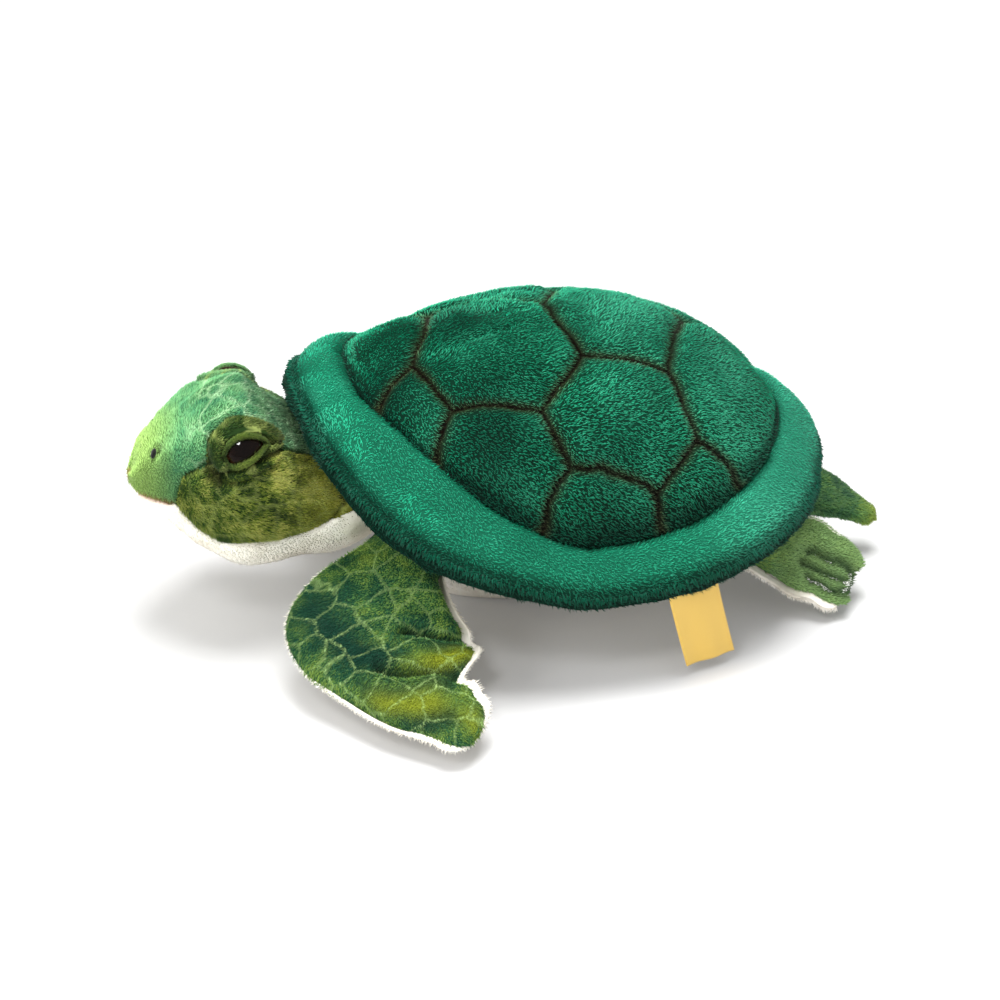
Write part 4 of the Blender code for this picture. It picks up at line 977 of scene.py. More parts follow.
# Loose polyester fibre: white, matt, with wavy strands that catch a little light at the edges.
fibre, tree = new_material("loose_polyester_fibre")
place = node(tree, "ShaderNodeTexCoord").outputs["Object"]
strands = node(tree, "ShaderNodeTexWave", {
    "Vector": place, "Scale": 160.0, "Distortion": 12.0, "Detail": 3.0}).outputs["Fac"]
tone = node(tree, "ShaderNodeValToRGB", {"Fac": strands})
tone.color_ramp.elements[0].color = linear("#DDDCD6")
tone.color_ramp.elements[1].color = linear("#F8F8F4")
bump = node(tree, "ShaderNodeBump", {"Height": strands, "Strength": 0.6, "Distance": 0.001})
shader = node(tree, "ShaderNodeBsdfPrincipled", {
    "Base Color": tone.outputs[0], "Roughness": 0.95, "Sheen Weight": 0.4, "Normal": bump.outputs[0]})
node(tree, "ShaderNodeOutputMaterial", {0: shader.outputs[0]})


def add_filling(name, points, body, cad_node):
    """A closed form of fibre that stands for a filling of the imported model."""
    piece = cover(name, points, None, fibre, body, {}, wrap=True, thick=False)
    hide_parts(cad_node)


def drawn_in(points, centre, halves):
    """A closed form drawn in towards a centre, by the filling's depth at the ends of its half sizes."""
    return centre + (points - centre) * (1 - FILLING_DEPTH / np.array(halves))


def behind_neck(points):
    """Points in front of the neck's ball moved back on to it; its lower half is stretched down."""
    aside, above = points[..., 0] - NECK_BALL[0], points[..., 2] - NECK_BALL[2]
    left = NECK_BALL_RADIUS ** 2 - aside ** 2 - np.where(above < 0, NECK_BALL_STRETCH * above, above) ** 2
    back = NECK_BALL[1] + np.sqrt(np.clip(left, 0, None))
    y = np.where(left > 0, np.maximum(points[..., 1], back), points[..., 1])
    return np.stack([points[..., 0], y, points[..., 2]], -1)


upper = dome(*dome_grid(FILLING_ROWS, FILLING_COLUMNS))[::-1]
lower = belly(*belly_grid(FILLING_BELLY_ROWS, FILLING_COLUMNS))[1:]
body_form = drawn_in(np.concatenate([upper, lower]), (0, 0, SEAM_SIDE_HEIGHT),
                     (SEAM_HALF_WIDTH, SEAM_FRONT_REACH, SEAM_SIDE_HEIGHT))
add_filling("body_filling", behind_neck(body_form), "trunk", "body_stuffing")

# %% [markdown]
# ## Head
# The head is an oval form about its neck joint: a ball behind it, a skull, and a blunt muzzle.
# A place on it is a share of the way to the nose and a share of the half turn from the crown
# (0) to the chin (1). The features below were measured that way on the photographed side.

# %% Head form
NECK_PIVOT = np.array([0.0, -0.092, 0.053])
NECK_RADIUS, NECK_HALF_WIDTH = 0.030, 0.031
SKULL_REACH, MUZZLE_LENGTH = 0.031, 0.040
HEAD_LENGTH = SKULL_REACH + MUZZLE_LENGTH
HEAD_HALF_WIDTH, HEAD_CROWN_HEIGHT, HEAD_CHIN_DEPTH, HEAD_RISE = 0.0385, 0.043, 0.0385, 0.008
MUZZLE_POINT_SHARE, HEAD_ROUNDNESS_SHARE = 0.75, 2.15
HEAD_INSET = 0.0010
NOSE_FILL, CROWN_FLATTENING, FAR_BROW_DROP, CHIN_LIFT = 0.0020, 0.0040, 0.0050, 0.0042
BROW_PAD_RISE, CHEEK_PAD_RISE, EYE_OPENING_DEPTH = 0.0012, 0.0022, 0.0030


def head_surface(share, half_turn):
    """Oval sections along the head; the section grows from the neck and closes at the nose."""
    forward, angle = share * HEAD_LENGTH, half_turn * pi
    behind = forward < 0
    closing = np.sqrt(np.clip(1 - (forward / NECK_RADIUS) ** 2, 0, 1))
    growing = np.clip(forward / SKULL_REACH, 0, 1)
    eased = growing ** 3 * (10 - 15 * growing + 6 * growing ** 2)
    muzzle = np.clip((forward - SKULL_REACH) / MUZZLE_LENGTH, 0, 1)
    point = np.clip(1 - muzzle ** 2, 0, 1) ** MUZZLE_POINT_SHARE
    width = np.where(behind, NECK_HALF_WIDTH * closing,
                     (NECK_HALF_WIDTH + (HEAD_HALF_WIDTH - NECK_HALF_WIDTH) * eased) * point)
    tall = np.where(np.cos(angle) > 0, HEAD_CROWN_HEIGHT, HEAD_CHIN_DEPTH)
    height = np.where(behind, NECK_RADIUS * closing,
                      (NECK_RADIUS + (tall - NECK_RADIUS) * eased) * point)
    power = np.where(behind, 1, 1 + (2 / HEAD_ROUNDNESS_SHARE - 1) * eased)
    side, up = np.sin(angle), np.cos(angle)
    x = width * np.sign(side) * np.abs(side) ** power
    z = np.where(behind, 0, HEAD_RISE * eased) + height * np.sign(up) * np.abs(up) ** power
    return NECK_PIVOT + np.stack([x, -forward + 0 * x, z], -1)


BROW_TOP = ((0.628, 0.266), (0.563, 0.239), (0.498, 0.206), (0.396, 0.212), (0.314, 0.231),
            (0.237, 0.241), (0.182, 0.253))
BROW_PAD = BROW_TOP + ((0.198, 0.261), (0.332, 0.338), (0.462, 0.369), (0.565, 0.381), (0.608, 0.336))
CHEEK_PAD = ((0.641, 0.351), (0.76, 0.389), (0.793, 0.456), (0.801, 0.499), (0.777, 0.536),
             (0.689, 0.585), (0.587, 0.618), (0.435, 0.613), (0.276, 0.623), (0.105, 0.583),
             (-0.01, 0.53), (-0.10, 0.45), (-0.01, 0.234), (0.076, 0.231), (0.182, 0.253),
             (0.198, 0.265), (0.332, 0.345), (0.462, 0.376), (0.565, 0.390), (0.606, 0.383))
LOWER_FOLD = ((0.511, 0.414), (0.412, 0.399), (0.31, 0.364), (0.221, 0.306))
CHEEK_FOLD = ((0.565, 0.381), (0.462, 0.369), (0.332, 0.338), (0.198, 0.261))
PINCH = ((0.641, 0.351), (0.606, 0.383), (0.568, 0.408))
EYE_TAIL = ((0.327, 0.298), (0.25, 0.275), (0.182, 0.253))
CROWN_LINE = ((0.182, 0.253), (0.076, 0.231), (-0.01, 0.234), (-0.12, 0.236))
MOUTH = ((1.0, 0.61), (0.979, 0.60), (0.927, 0.539), (0.87, 0.524), (0.816, 0.504))
CROWN_SEAM = ((-0.5, 0.236), (-0.01, 0.234), (0.076, 0.231), (0.182, 0.250), (0.314, 0.229),
              (0.396, 0.211), (0.498, 0.206), (0.563, 0.238), (0.61, 0.262), (0.645, 0.352),
              (0.70, 0.368), (0.76, 0.389), (0.79, 0.452), (0.812, 0.502), (0.87, 0.524),
              (0.927, 0.542), (0.979, 0.585), (1.0, 0.60))
CHIN_SEAM = ((-0.5, 0.50), (-0.01, 0.53), (0.105, 0.583), (0.276, 0.620), (0.435, 0.616),
             (0.587, 0.613), (0.689, 0.585), (0.777, 0.536), (0.812, 0.506), (0.87, 0.524),
             (0.927, 0.542), (0.979, 0.585), (1.0, 0.60))
CHEEK_END = 0.806


def head_route(spots, steps=6):
    """Both ends of the short pieces of a line over the head's left side."""
    spots = np.array(spots)
    at = np.linspace(0, len(spots) - 1, (len(spots) - 1) * steps + 1)
    share, half_turn = (np.interp(at, np.arange(len(spots)), spots[:, i]) for i in (0, 1))
    line = head_surface(share, half_turn)
    return line[:-1], line[1:]


def inside(outline, share, half_turn):
    """Whether places lie inside a closed outline: a level line from one crosses it an odd number of times."""
    odd = np.zeros(share.shape, bool)
    for (x0, y0), (x1, y1) in zip(outline, outline[1:] + outline[:1]):
        if y0 != y1:
            crosses = (y0 > half_turn) != (y1 > half_turn)
            odd ^= crosses & (share < (x1 - x0) * (half_turn - y0) / (y1 - y0) + x0)
    return odd


EYE_RADIUS, EYE_BULGE = 0.0072, 0.0044
EYE_SHANK = (0.0018, 0.0085)
LID_THICKNESS = 0.0014
UPPER_EDGE = ((-90, 150), (-75, 133), (-60, 92), (-36, 71), (-7, 64), (23, 63), (45, 61), (70, 62), (90, 72))
LOWER_EDGE = ((-90, 160), (-75, 165), (-53, 172), (-40, 158), (-18, 134), (0, 123), (19, 112), (45, 93),
              (70, 74), (90, 73))


EYE_SPOT = (0.0300 / HEAD_LENGTH, 57 / 180)
NOSTRIL_SPOT = (1 - 0.0085 / HEAD_LENGTH, 44 / 180)
NOSTRIL_STAND_OFF = 0.0004


def facing_frame(share, half_turn, stand_off):
    """A place that stands off the head's left side, and its axes: Z straight out, Y near up, and X."""
    spot = lambda s, h: head_surface(np.array(s), np.array(h))
    here = spot(share, half_turn)
    out = unit(np.cross(spot(share + 0.004, half_turn) - here, spot(share, half_turn + 0.0025) - here))
    up = unit(np.array([0, 0, 1.0]) - out * out[2])
    return here + out * stand_off, np.stack([np.cross(up, out), up, out])


SOCKET_RADIUS, SOCKET_RISE = 0.0118, 0.0056
FAR_SOCKET_RADIUS, FAR_SOCKET_RISE = 0.0106, 0.0058
eye_place, eye_axes = facing_frame(*EYE_SPOT, SEAT_GAP)
FAR_EYE_SHIFT = np.array([0, 0, -0.0028]) - 0.0014 * eye_axes[2]
EYE_PLACE, NOSTRIL_PLACE = (head_surface(*map(np.array, spot)) for spot in (EYE_SPOT, NOSTRIL_SPOT))


def head_features(share, half_turn):
    """Distances on the left side, in metres, to every line and pad edge of the face."""
    fold = np.arccos(np.clip(np.cos(half_turn * pi), -1, 1)) / pi
    points = head_surface(share, fold)
    found = {name: distance_to(points, *head_route(line)) for name, line in (
        ("lower", LOWER_FOLD), ("cheek_fold", CHEEK_FOLD), ("pinch", PINCH),
        ("crown_line", CROWN_LINE), ("mouth", MOUTH), ("eye_tail", EYE_TAIL))}
    for name, outline in (("brow", BROW_PAD), ("cheek", CHEEK_PAD)):
        gap = distance_to(points, *head_route(outline + outline[:1]))
        found[name] = np.where(inside(outline, share, fold), gap, -gap)
    found["eye"] = np.linalg.norm(points - EYE_PLACE, axis=-1)
    found["nostril"] = np.linalg.norm(points - NOSTRIL_PLACE, axis=-1)
    return found


def socket(points, lift):
    """Raises the cloth like a low dome round the eye; also finds the almond opening in it."""
    far = points[..., 0] < 0
    place = eye_place + np.where(far[..., None], FAR_EYE_SHIFT, 0)
    local = (np.stack([np.abs(points[..., 0]), points[..., 1], points[..., 2]], -1) - place) @ eye_axes.T
    wide = np.hypot(local[..., 0], local[..., 1])
    radius = np.where(far, FAR_SOCKET_RADIUS, SOCKET_RADIUS)
    tall = np.where(far, FAR_SOCKET_RISE, SOCKET_RISE)
    rise = tall * np.sqrt(np.clip(1 - (wide / radius) ** 2, 0, 1)) - local[..., 2] - 0.0006
    size = EYE_RADIUS + SEAT_GAP + LID_THICKNESS
    across = np.clip(local[..., 0] / size, -0.999, 0.999)
    level = np.degrees(np.arccos(np.clip(local[..., 1] / size / np.sqrt(1 - across ** 2), -1, 1)))
    across = np.degrees(np.arcsin(across))
    opening = (level > eased_table(UPPER_EDGE, across) - np.where(far, -2, 8)) & (
        level < eased_table(LOWER_EDGE, across) + 8) & (wide < size * 0.98)
    return np.where(wide < radius, np.maximum(lift, rise), lift), opening


def head_panel(share, half_turn):
    """Places, normals and printed values of a part of the head's cloth."""
    points = head_surface(share, half_turn)
    found = head_features(share, half_turn)
    up = outward_normals(points, points - NECK_PIVOT - (0, -0.02, 0.004))
    groove = lambda name, depth, width: -depth * bell(found[name], width)
    lift = BROW_PAD_RISE * soft_step(found["brow"], -0.0006, 0.0022)
    lift += CHEEK_PAD_RISE * soft_step(found["cheek"], -0.0004, 0.0065)
    lift += groove("crown_line", 0.0012, 0.0012) + groove("mouth", 0.0008, 0.0010)
    lift, opening = socket(points, lift)
    lift += groove("brow", 0.0011, 0.0011) + groove("cheek", 0.0012, 0.0012)
    lift += groove("pinch", 0.0026, 0.0019) + groove("lower", 0.0014, 0.0010)
    lift += groove("cheek_fold", 0.0012, 0.0010) + groove("eye_tail", 0.0010, 0.0009)
    lift += 0.0012 * bell(found["lower"] - 0.0020, 0.0014) * soft_step(found["brow"], -0.003, 0.001)
    lift = np.where(opening, -EYE_OPENING_DEPTH, lift)
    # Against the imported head, the photographed one has a flatter crown, a blunter nose, a
    # shallower front of the chin, and a brow that is lower on the far side.
    fold = np.arccos(np.clip(np.cos(half_turn * pi), -1, 1)) / pi
    crown = (1 - soft_step(fold, 0.04, 0.26)) * soft_step(share, 0.05, 0.30) * (
        1 - soft_step(share, 0.72, 0.95))
    lift += NOSE_FILL * soft_step(share, 0.82, 0.96) - CROWN_FLATTENING * crown
    lift -= 0.0015 * soft_step(fold, 0.75, 0.95)
    lift -= 0.0013 * (1 - soft_step(fold, 0.10, 0.35)) * soft_step(share, 0.45, 0.70)
    lift -= CHIN_LIFT * soft_step(fold, 0.60, 0.82) * soft_step(share, 0.40, 0.70) * (
        1 - 0.6 * soft_step(share, 0.92, 1.0))
    lift += 0.0010 * soft_step(share, 0.88, 0.97) * soft_step(fold, 0.28, 0.45) * (
        1 - soft_step(fold, 0.56, 0.64))
    far = (points[..., 0] < 0) * soft_step(fold, 0.0, 0.12)
    lift -= FAR_BROW_DROP * far * (1 - soft_step(fold, 0.22, 0.32)) * soft_step(share, 0.05, 0.25) * (
        1 - soft_step(share, 0.64, 0.86))
    lift -= 0.0019 * (1 - soft_step(found["nostril"], 0.0010, 0.0045))
    lift += 0.0007 * wobble(points, 0.014, 61) + 0.0003 * wobble(points, 0.005, 62)
    lift = (lift - HEAD_INSET) * soft_step(share, -0.42, -0.05)
    points = points + up * lift[..., None]
    up = outward_normals(points, up)
    seams = np.minimum.reduce([np.abs(found[name]) for name in ("brow", "cheek", "pinch", "crown_line")])
    # The seams' creases and the deep folds are darkened with painted shade.
    values = {
        "painted_crease_shade": bell(seams, 0.0009),
        "painted_fold_shade": (bell(found["pinch"], 0.0028) + 0.9 * bell(found["eye_tail"], 0.0008)
                 + 0.5 * bell(found["lower"], 0.0009)),
        "brow": soft_step(found["brow"], -0.0002, 0.0004),
        "front": soft_step(share, 0.30, 0.62),
        "rear": 1 - soft_step(share, -0.05, 0.28),
        "net": (1 - soft_step(share, 0.62, 0.78)) * soft_step(share, -0.3, 0.0),
        "snout": soft_step(share, 0.76, 0.95),
        "pale": 1 - soft_step(share, 0.0, 0.35),
        "far_top": far * (1 - soft_step(fold, 0.29, 0.34)),
        "mouth": bell(found["mouth"], 0.0013) * soft_step(share, 0.80, 0.84),
        "nostril": 1 - soft_step(found["nostril"], 0.0008, 0.0018)}
    return points, up, values


HEAD_BACK_SHARE = -0.42253


def panel_grid(low, high, columns, last=1.0, start=HEAD_BACK_SHARE, rows=128):
    """Share and half turn of a panel between two seams, closest together towards the nose."""
    t = np.linspace(0, 1, rows)
    share = start + (last - start) * np.sin(t * pi / 2) ** 1.15 if last == 1.0 else start + (last - start) * t
    share[-1] = last
    edge = [table(share) for table in (low, high)]
    across = np.linspace(0, 1, columns)
    half_turn = edge[0][:, None] * (1 - across) + edge[1][:, None] * across
    return share[:, None] + 0 * half_turn, half_turn


SEAM_HALF_GAP = 0.0012
crown_edge = lambda share: eased_table(CROWN_SEAM, share) - SEAM_HALF_GAP
chin_edge = lambda share: SEAM_HALF_GAP + np.maximum(
    eased_table(CHIN_SEAM, share), eased_table(CROWN_SEAM, share))
crown_share, crown_turn = panel_grid(lambda s: -crown_edge(s), crown_edge, 181)
chin_share, chin_turn = panel_grid(chin_edge, lambda s: 2 - chin_edge(s), 181)
cheek_share, cheek_turn = panel_grid(lambda s: crown_edge(s) + 2 * SEAM_HALF_GAP,
                                     lambda s: chin_edge(s) - 2 * SEAM_HALF_GAP, 121, CHEEK_END)

# %% [markdown]
# The head's plush is printed: a pale net of scales on the crown, olive pads round the eyes, and
# streaked dark cheeks. The net is the edge distance of cells scattered through space.

# %% Head plush
def printed_plush(name, dark, middle, light, prints, net_colour, net_size, net_strength, net_value,
                  patch=0.014, stretch=(1, 1, 1), painted_root_shade=0.42, sharp=0.08, spread=0.35):
    """Plush with a printed net of scales: thin lines where cells of a scattered pattern meet."""
    material = plush(name, dark, middle, light, prints, patch, painted_root_shade, spread=spread)
    tree = material.node_tree
    shader = next(n for n in tree.nodes if n.bl_idname == "ShaderNodeBsdfPrincipled")
    root = node(tree, "ShaderNodeAttribute", attribute_name="root").outputs["Vector"]
    bent = node(tree, "ShaderNodeTexNoise", {"Vector": root, "Scale": 140.0, "Detail": 1.0}).outputs["Color"]
    moved = node(tree, "ShaderNodeVectorMath", {0: bent, 1: (0.0035,) * 3}, operation="MULTIPLY")
    placed = node(tree, "ShaderNodeVectorMath", {0: root, 1: moved.outputs[0]}, operation="ADD")
    placed = node(tree, "ShaderNodeVectorMath", {0: placed.outputs[0], 1: stretch}, operation="MULTIPLY")
    cells = node(tree, "ShaderNodeTexVoronoi", {
        "Vector": placed.outputs[0], "Scale": 1 / net_size}, feature="DISTANCE_TO_EDGE")
    line = node(tree, "ShaderNodeMapRange", {
        "Value": cells.outputs["Distance"], "From Min": 0.01, "From Max": sharp, "To Min": 1.0,
        "To Max": 0.0}).outputs["Result"]
    mask = node(tree, "ShaderNodeAttribute", attribute_name=net_value).outputs["Fac"]
    line = node(tree, "ShaderNodeMath", {0: line, 1: mask}, operation="MULTIPLY").outputs[0]
    line = node(tree, "ShaderNodeMath", {0: line, 1: net_strength}, operation="MULTIPLY").outputs[0]
    before = shader.inputs["Base Color"].links[0].from_socket
    printed = node(tree, "ShaderNodeMixRGB", {0: line, 1: before, 2: linear(net_colour)})
    tree.links.new(printed.outputs[0], shader.inputs["Base Color"])
    return material


# %% [markdown]
# The crown is a light green that turns to lime at the snout, with painted shade along its seams.
# The cheeks are olive, darker in the eye pads, with painted shade in the creases and folds. The
# chin is white and nearly even, because its pile is short.

# %% Head finishes
crown_plush = printed_plush("crown_plush_pile", "#489068", "#68AC72", "#8AC688", (
    ("snout", "#B8DA74", 0.80), ("pale", "#A8D4A0", 0.65), ("mouth", "#A86A48", 0.9),
    ("painted_crease_shade", "#4E7A44", 0.7), ("nostril", "#202018", 0.6)), "#BEE4B2", 0.0092, 0.6, "net", patch=0.010)
cheek_plush = printed_plush("cheek_plush_pile", "#304A16", "#8AA238", "#DEE070", (
    ("front", "#466A34", 0.45), ("rear", "#D2D254", 0.55), ("brow", "#2E4C20", 0.85),
    ("far_top", "#7AB478", 0.9), ("painted_crease_shade", "#1E2C10", 0.8), ("painted_fold_shade", "#16220E", 0.85)),
    "#BAC870", 0.0105, 0.36, "net", patch=0.009, spread=0.20)
chin_plush = plush("chin_plush_pile", "#DED8C8", "#F4F0E2", "#FFFDF2", (
    ("mouth", "#A86A48", 0.7),), painted_root_shade=0.97, grain=0.12)

# %% [markdown]
# A toy maker cuts the head from a crown, two cheeks and a chin. The four are made by one
# function, each on its own part of the head's grid, so that their edges meet at the seams.

# %% Head panels
head_parts = (
    ("head_crown_cover", crown_share, crown_turn, crown_plush, "crown_plush", 22000, 0.8, "head_crown"),
    ("head_chin_cover", chin_share, chin_turn, chin_plush, "white_plush", 15000, 0.42, "head_chin"),
    ("head_cheek_cover_left", cheek_share, cheek_turn, cheek_plush, "cheek_plush", 15000, 0.8,
     "head_cheek_left"),
    ("head_cheek_cover_right", cheek_share, 2 - cheek_turn[:, ::-1], cheek_plush, "cheek_plush", 10500, 0.8,
     "head_cheek_right"))
for seed, (name, share, half_turn, finish, slot, count, long, cad_node) in enumerate(head_parts):
    points, up, values = head_panel(share, half_turn)
    piece = cover(name, points, up, finish, "head", values)
    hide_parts(cad_node)
    eye_gap = head_features(share, half_turn)["eye"]
    bare = soft_step(eye_gap, 0.0072, 0.0088) * (0.04 + 0.96 * soft_step(share, -0.12, 0.0)) * (
        1 - 0.9 * values["nostril"])
    lay = brushed(points, (0, 1, -0.15), 0.6, 63, 0.02)
    pile(name.replace("cover", "pile"), points, up, lay, count, finish, "head",
         values, 71 + seed, density=bare, length=long * (1 - 0.5 * values["painted_crease_shade"]), width=0.0006)

share = np.append(HEAD_BACK_SHARE * np.cos(np.linspace(0, pi / 2, 8, endpoint=False)),
                  np.sin(np.linspace(0, pi / 2, 24)))
share, half_turn = np.broadcast_arrays(share[:, None], np.linspace(0, 2, 64, endpoint=False)[None, :])
head_core = drawn_in(head_surface(share, half_turn), (0, NECK_PIVOT[1] - 0.0205, 0.061),
                     (0.6 * HEAD_HALF_WIDTH, 0.030, 0.6 * HEAD_CHIN_DEPTH))
add_filling("head_filling", head_core, "head", "head_stuffing")

# %% [markdown]
# ## Eyes and nostrils
# Each eye is a glossy domed button with a shank. Two lids of the same plush as the brow lie
# round it, so that it shows as an almond. The tables give each lid's edge over the dome.

# %% Eyes
SIDES = (("left", np.array([1, 1, 1])), ("right", np.array([-1, 1, 1])))

# The eye is moulded plastic with a clear coat: nearly black, with a warm brown rim where it
# is seen edge on, and one sharp highlight.
eye_gloss, tree = new_material("eye_gloss")
edge_on = node(tree, "ShaderNodeLayerWeight", {"Blend": 0.35}).outputs["Facing"]
glass = node(tree, "ShaderNodeTexCoord").outputs["Object"]
flecks = node(tree, "ShaderNodeTexNoise", {"Vector": glass, "Scale": 500.0, "Detail": 2.0}).outputs["Fac"]
brown = node(tree, "ShaderNodeMath", {0: edge_on, 1: flecks}, operation="MULTIPLY").outputs[0]
iris = node(tree, "ShaderNodeMixRGB", {0: brown, 1: linear("#0A0605"), 2: linear("#4A2412")})
shader = node(tree, "ShaderNodeBsdfPrincipled", {
    "Base Color": iris.outputs[0], "Roughness": 0.06, "Coat Weight": 1.0, "Coat Roughness": 0.03})
node(tree, "ShaderNodeOutputMaterial", {0: shader.outputs[0]})

profile = [(EYE_RADIUS * np.sin(a), EYE_BULGE * np.cos(a)) for a in np.linspace(0, pi / 2, 20)]
profile += [(EYE_RADIUS * 0.97, -0.0002), (EYE_SHANK[0] * 1.2, -0.0002), (EYE_SHANK[0], -0.0008)]
profile += [(EYE_SHANK[0], -EYE_SHANK[1] * 0.97), (EYE_SHANK[0] * 0.9, -EYE_SHANK[1]), (0, -EYE_SHANK[1])]
radius, height = np.array(profile).T
around = np.linspace(0, 2 * pi, 48, endpoint=False)
local = np.stack([radius[:, None] * np.cos(around), radius[:, None] * np.sin(around),
                  height[:, None] + 0 * around], -1)
for side_name, mirror in SIDES:
    place = eye_place + FAR_EYE_SHIFT * (side_name == "right")
    piece = cover(f"eye_button_{side_name}", (place + local @ eye_axes) * mirror, None, eye_gloss, "head",
                  {}, wrap=True, thick=False)
    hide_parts(f"eye_{side_name}")


def lid_points(edge, width, rows=16, columns=61):
    """A lid's outer sheet over the dome: a band of a width in degrees that ends at a table's edge."""
    across = np.linspace(-84, 84, columns)
    last = eased_table(edge, across)
    t = np.linspace(0, 1, rows)[:, None]
    level = np.radians(last + width * (1 - t))
    size = np.array([EYE_RADIUS, EYE_RADIUS, EYE_BULGE]) + SEAT_GAP + LID_THICKNESS
    size = size - 0.0008 * (2 * t[..., None] - 1) ** 4
    a = np.radians(across)[None, :]
    ball = np.stack([np.sin(a) + 0 * level, np.cos(a) * np.cos(level), np.cos(a) * np.sin(level)], -1)
    return eye_place + (ball * size) @ eye_axes


lid_plush = plush("lid_plush_pile", "#3A5222", "#647A32", "#8C9E4A", (("rim", "#1C220E", 0.8),
                  ("front", "#3E5A34", 0.5), ("far_top", "#7AB478", 0.7)), painted_root_shade=0.5)
for lid_name, edge, start in (("upper", UPPER_EDGE, -13), ("lower", LOWER_EDGE, 17)):
    sheet = lid_points(edge, start)
    t = np.linspace(0, 1, sheet.shape[0])[:, None] + 0 * sheet[..., 0]
    values = {"rim": soft_step(t, 0.88, 0.97),
              "front": soft_step(-sheet[..., 1], 0.1235, 0.129)}
    up = outward_normals(sheet, sheet - eye_place)
    lay = np.broadcast_to(np.array([0, 1.0, -0.1]), sheet.shape)
    for side_name, mirror in SIDES:
        place = (sheet + (FAR_EYE_SHIFT - 0.0008 * eye_axes[2]) * (side_name == "right")) * mirror
        values["far_top"] = np.full(t.shape, float(side_name == "right" and lid_name == "upper"))
        piece = cover(f"{lid_name}_lid_{side_name}", place, up * mirror, lid_plush, "head",
                      values)
        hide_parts(f"{lid_name}_eyelid_{side_name}")
        pile(f"{lid_name}_lid_pile_{side_name}", place, up * mirror, lay * mirror, 1500, lid_plush, "head",
             values, 81, length=np.full(t.shape, 0.55), width=0.0005)

# %% [markdown]
# The nostrils are small ovals of black satin stitch, and a moulded washer locks each eye's
# shank behind the cloth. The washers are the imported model's own and only get their finish.

# %% Nostrils and washers
# Satin stitch is rayon thread laid side by side, which gives black ribs with a soft shine.
thread, tree = new_material("black_satin_stitch")
place = node(tree, "ShaderNodeTexCoord").outputs["Object"]
rows = node(tree, "ShaderNodeTexWave", {"Vector": place, "Scale": 900.0, "Distortion": 0.6}).outputs["Fac"]
tone = node(tree, "ShaderNodeMixRGB", {0: rows, 1: linear("#060606"), 2: linear("#161514")})
bump = node(tree, "ShaderNodeBump", {"Height": rows, "Strength": 0.5, "Distance": 0.0002})
shader = node(tree, "ShaderNodeBsdfPrincipled", {
    "Base Color": tone.outputs[0], "Roughness": 0.5, "Sheen Weight": 0.2, "Normal": bump.outputs[0]})
node(tree, "ShaderNodeOutputMaterial", {0: shader.outputs[0]})

# The washer is moulded polypropylene: pale, a little cloudy and barely glossy.
washer_material, tree = new_material("moulded_washer_plastic")
place = node(tree, "ShaderNodeTexCoord").outputs["Object"]
grain = node(tree, "ShaderNodeTexNoise", {"Vector": place, "Scale": 900.0}).outputs["Fac"]
tone = node(tree, "ShaderNodeMixRGB", {0: grain, 1: linear("#DAD8CE"), 2: linear("#EEECE4")})
bump = node(tree, "ShaderNodeBump", {"Height": grain, "Strength": 0.2, "Distance": 0.0001})
shader = node(tree, "ShaderNodeBsdfPrincipled", {
    "Base Color": tone.outputs[0], "Roughness": 0.38, "Normal": bump.outputs[0]})
node(tree, "ShaderNodeOutputMaterial", {0: shader.outputs[0]})

NOSTRIL_HALVES = (0.0012, 0.0021, 0.0009)
NOSTRIL_SINK = {"left": 0.0003, "right": 0.0018}
nostril_place, nostril_axes = facing_frame(*NOSTRIL_SPOT, NOSTRIL_STAND_OFF)
a = np.linspace(0, pi, 17)[:, None]
b = np.linspace(0, 2 * pi, 32, endpoint=False)[None, :]
local = np.stack([np.sin(a) * np.cos(b), np.sin(a) * np.sin(b), np.cos(a) + 0 * b], -1) * NOSTRIL_HALVES
for side_name, mirror in SIDES:
    place = nostril_place - nostril_axes[2] * NOSTRIL_SINK[side_name]
    piece = cover(f"nostril_stitch_{side_name}", (place + local @ nostril_axes) * mirror, None, thread,
                  "head", {}, wrap=True, thick=False)
    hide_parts(f"nostril_{side_name}")
    washer = bpy.data.objects[f"eye_washer_{side_name}"]
    for material_slot in washer.material_slots:
        material_slot.material = washer_material

# %% [markdown]
# ## Flippers and tail
# Each limb is an oval section carried along a line that may turn to the rear. Behind its hinge it
# is a ball's half, inside the body. Top and underside are separate panels that meet at the edge.

# %% Limb form
LIMB_STEPS = 241
HINGE_STAND_OFF = 0.0025


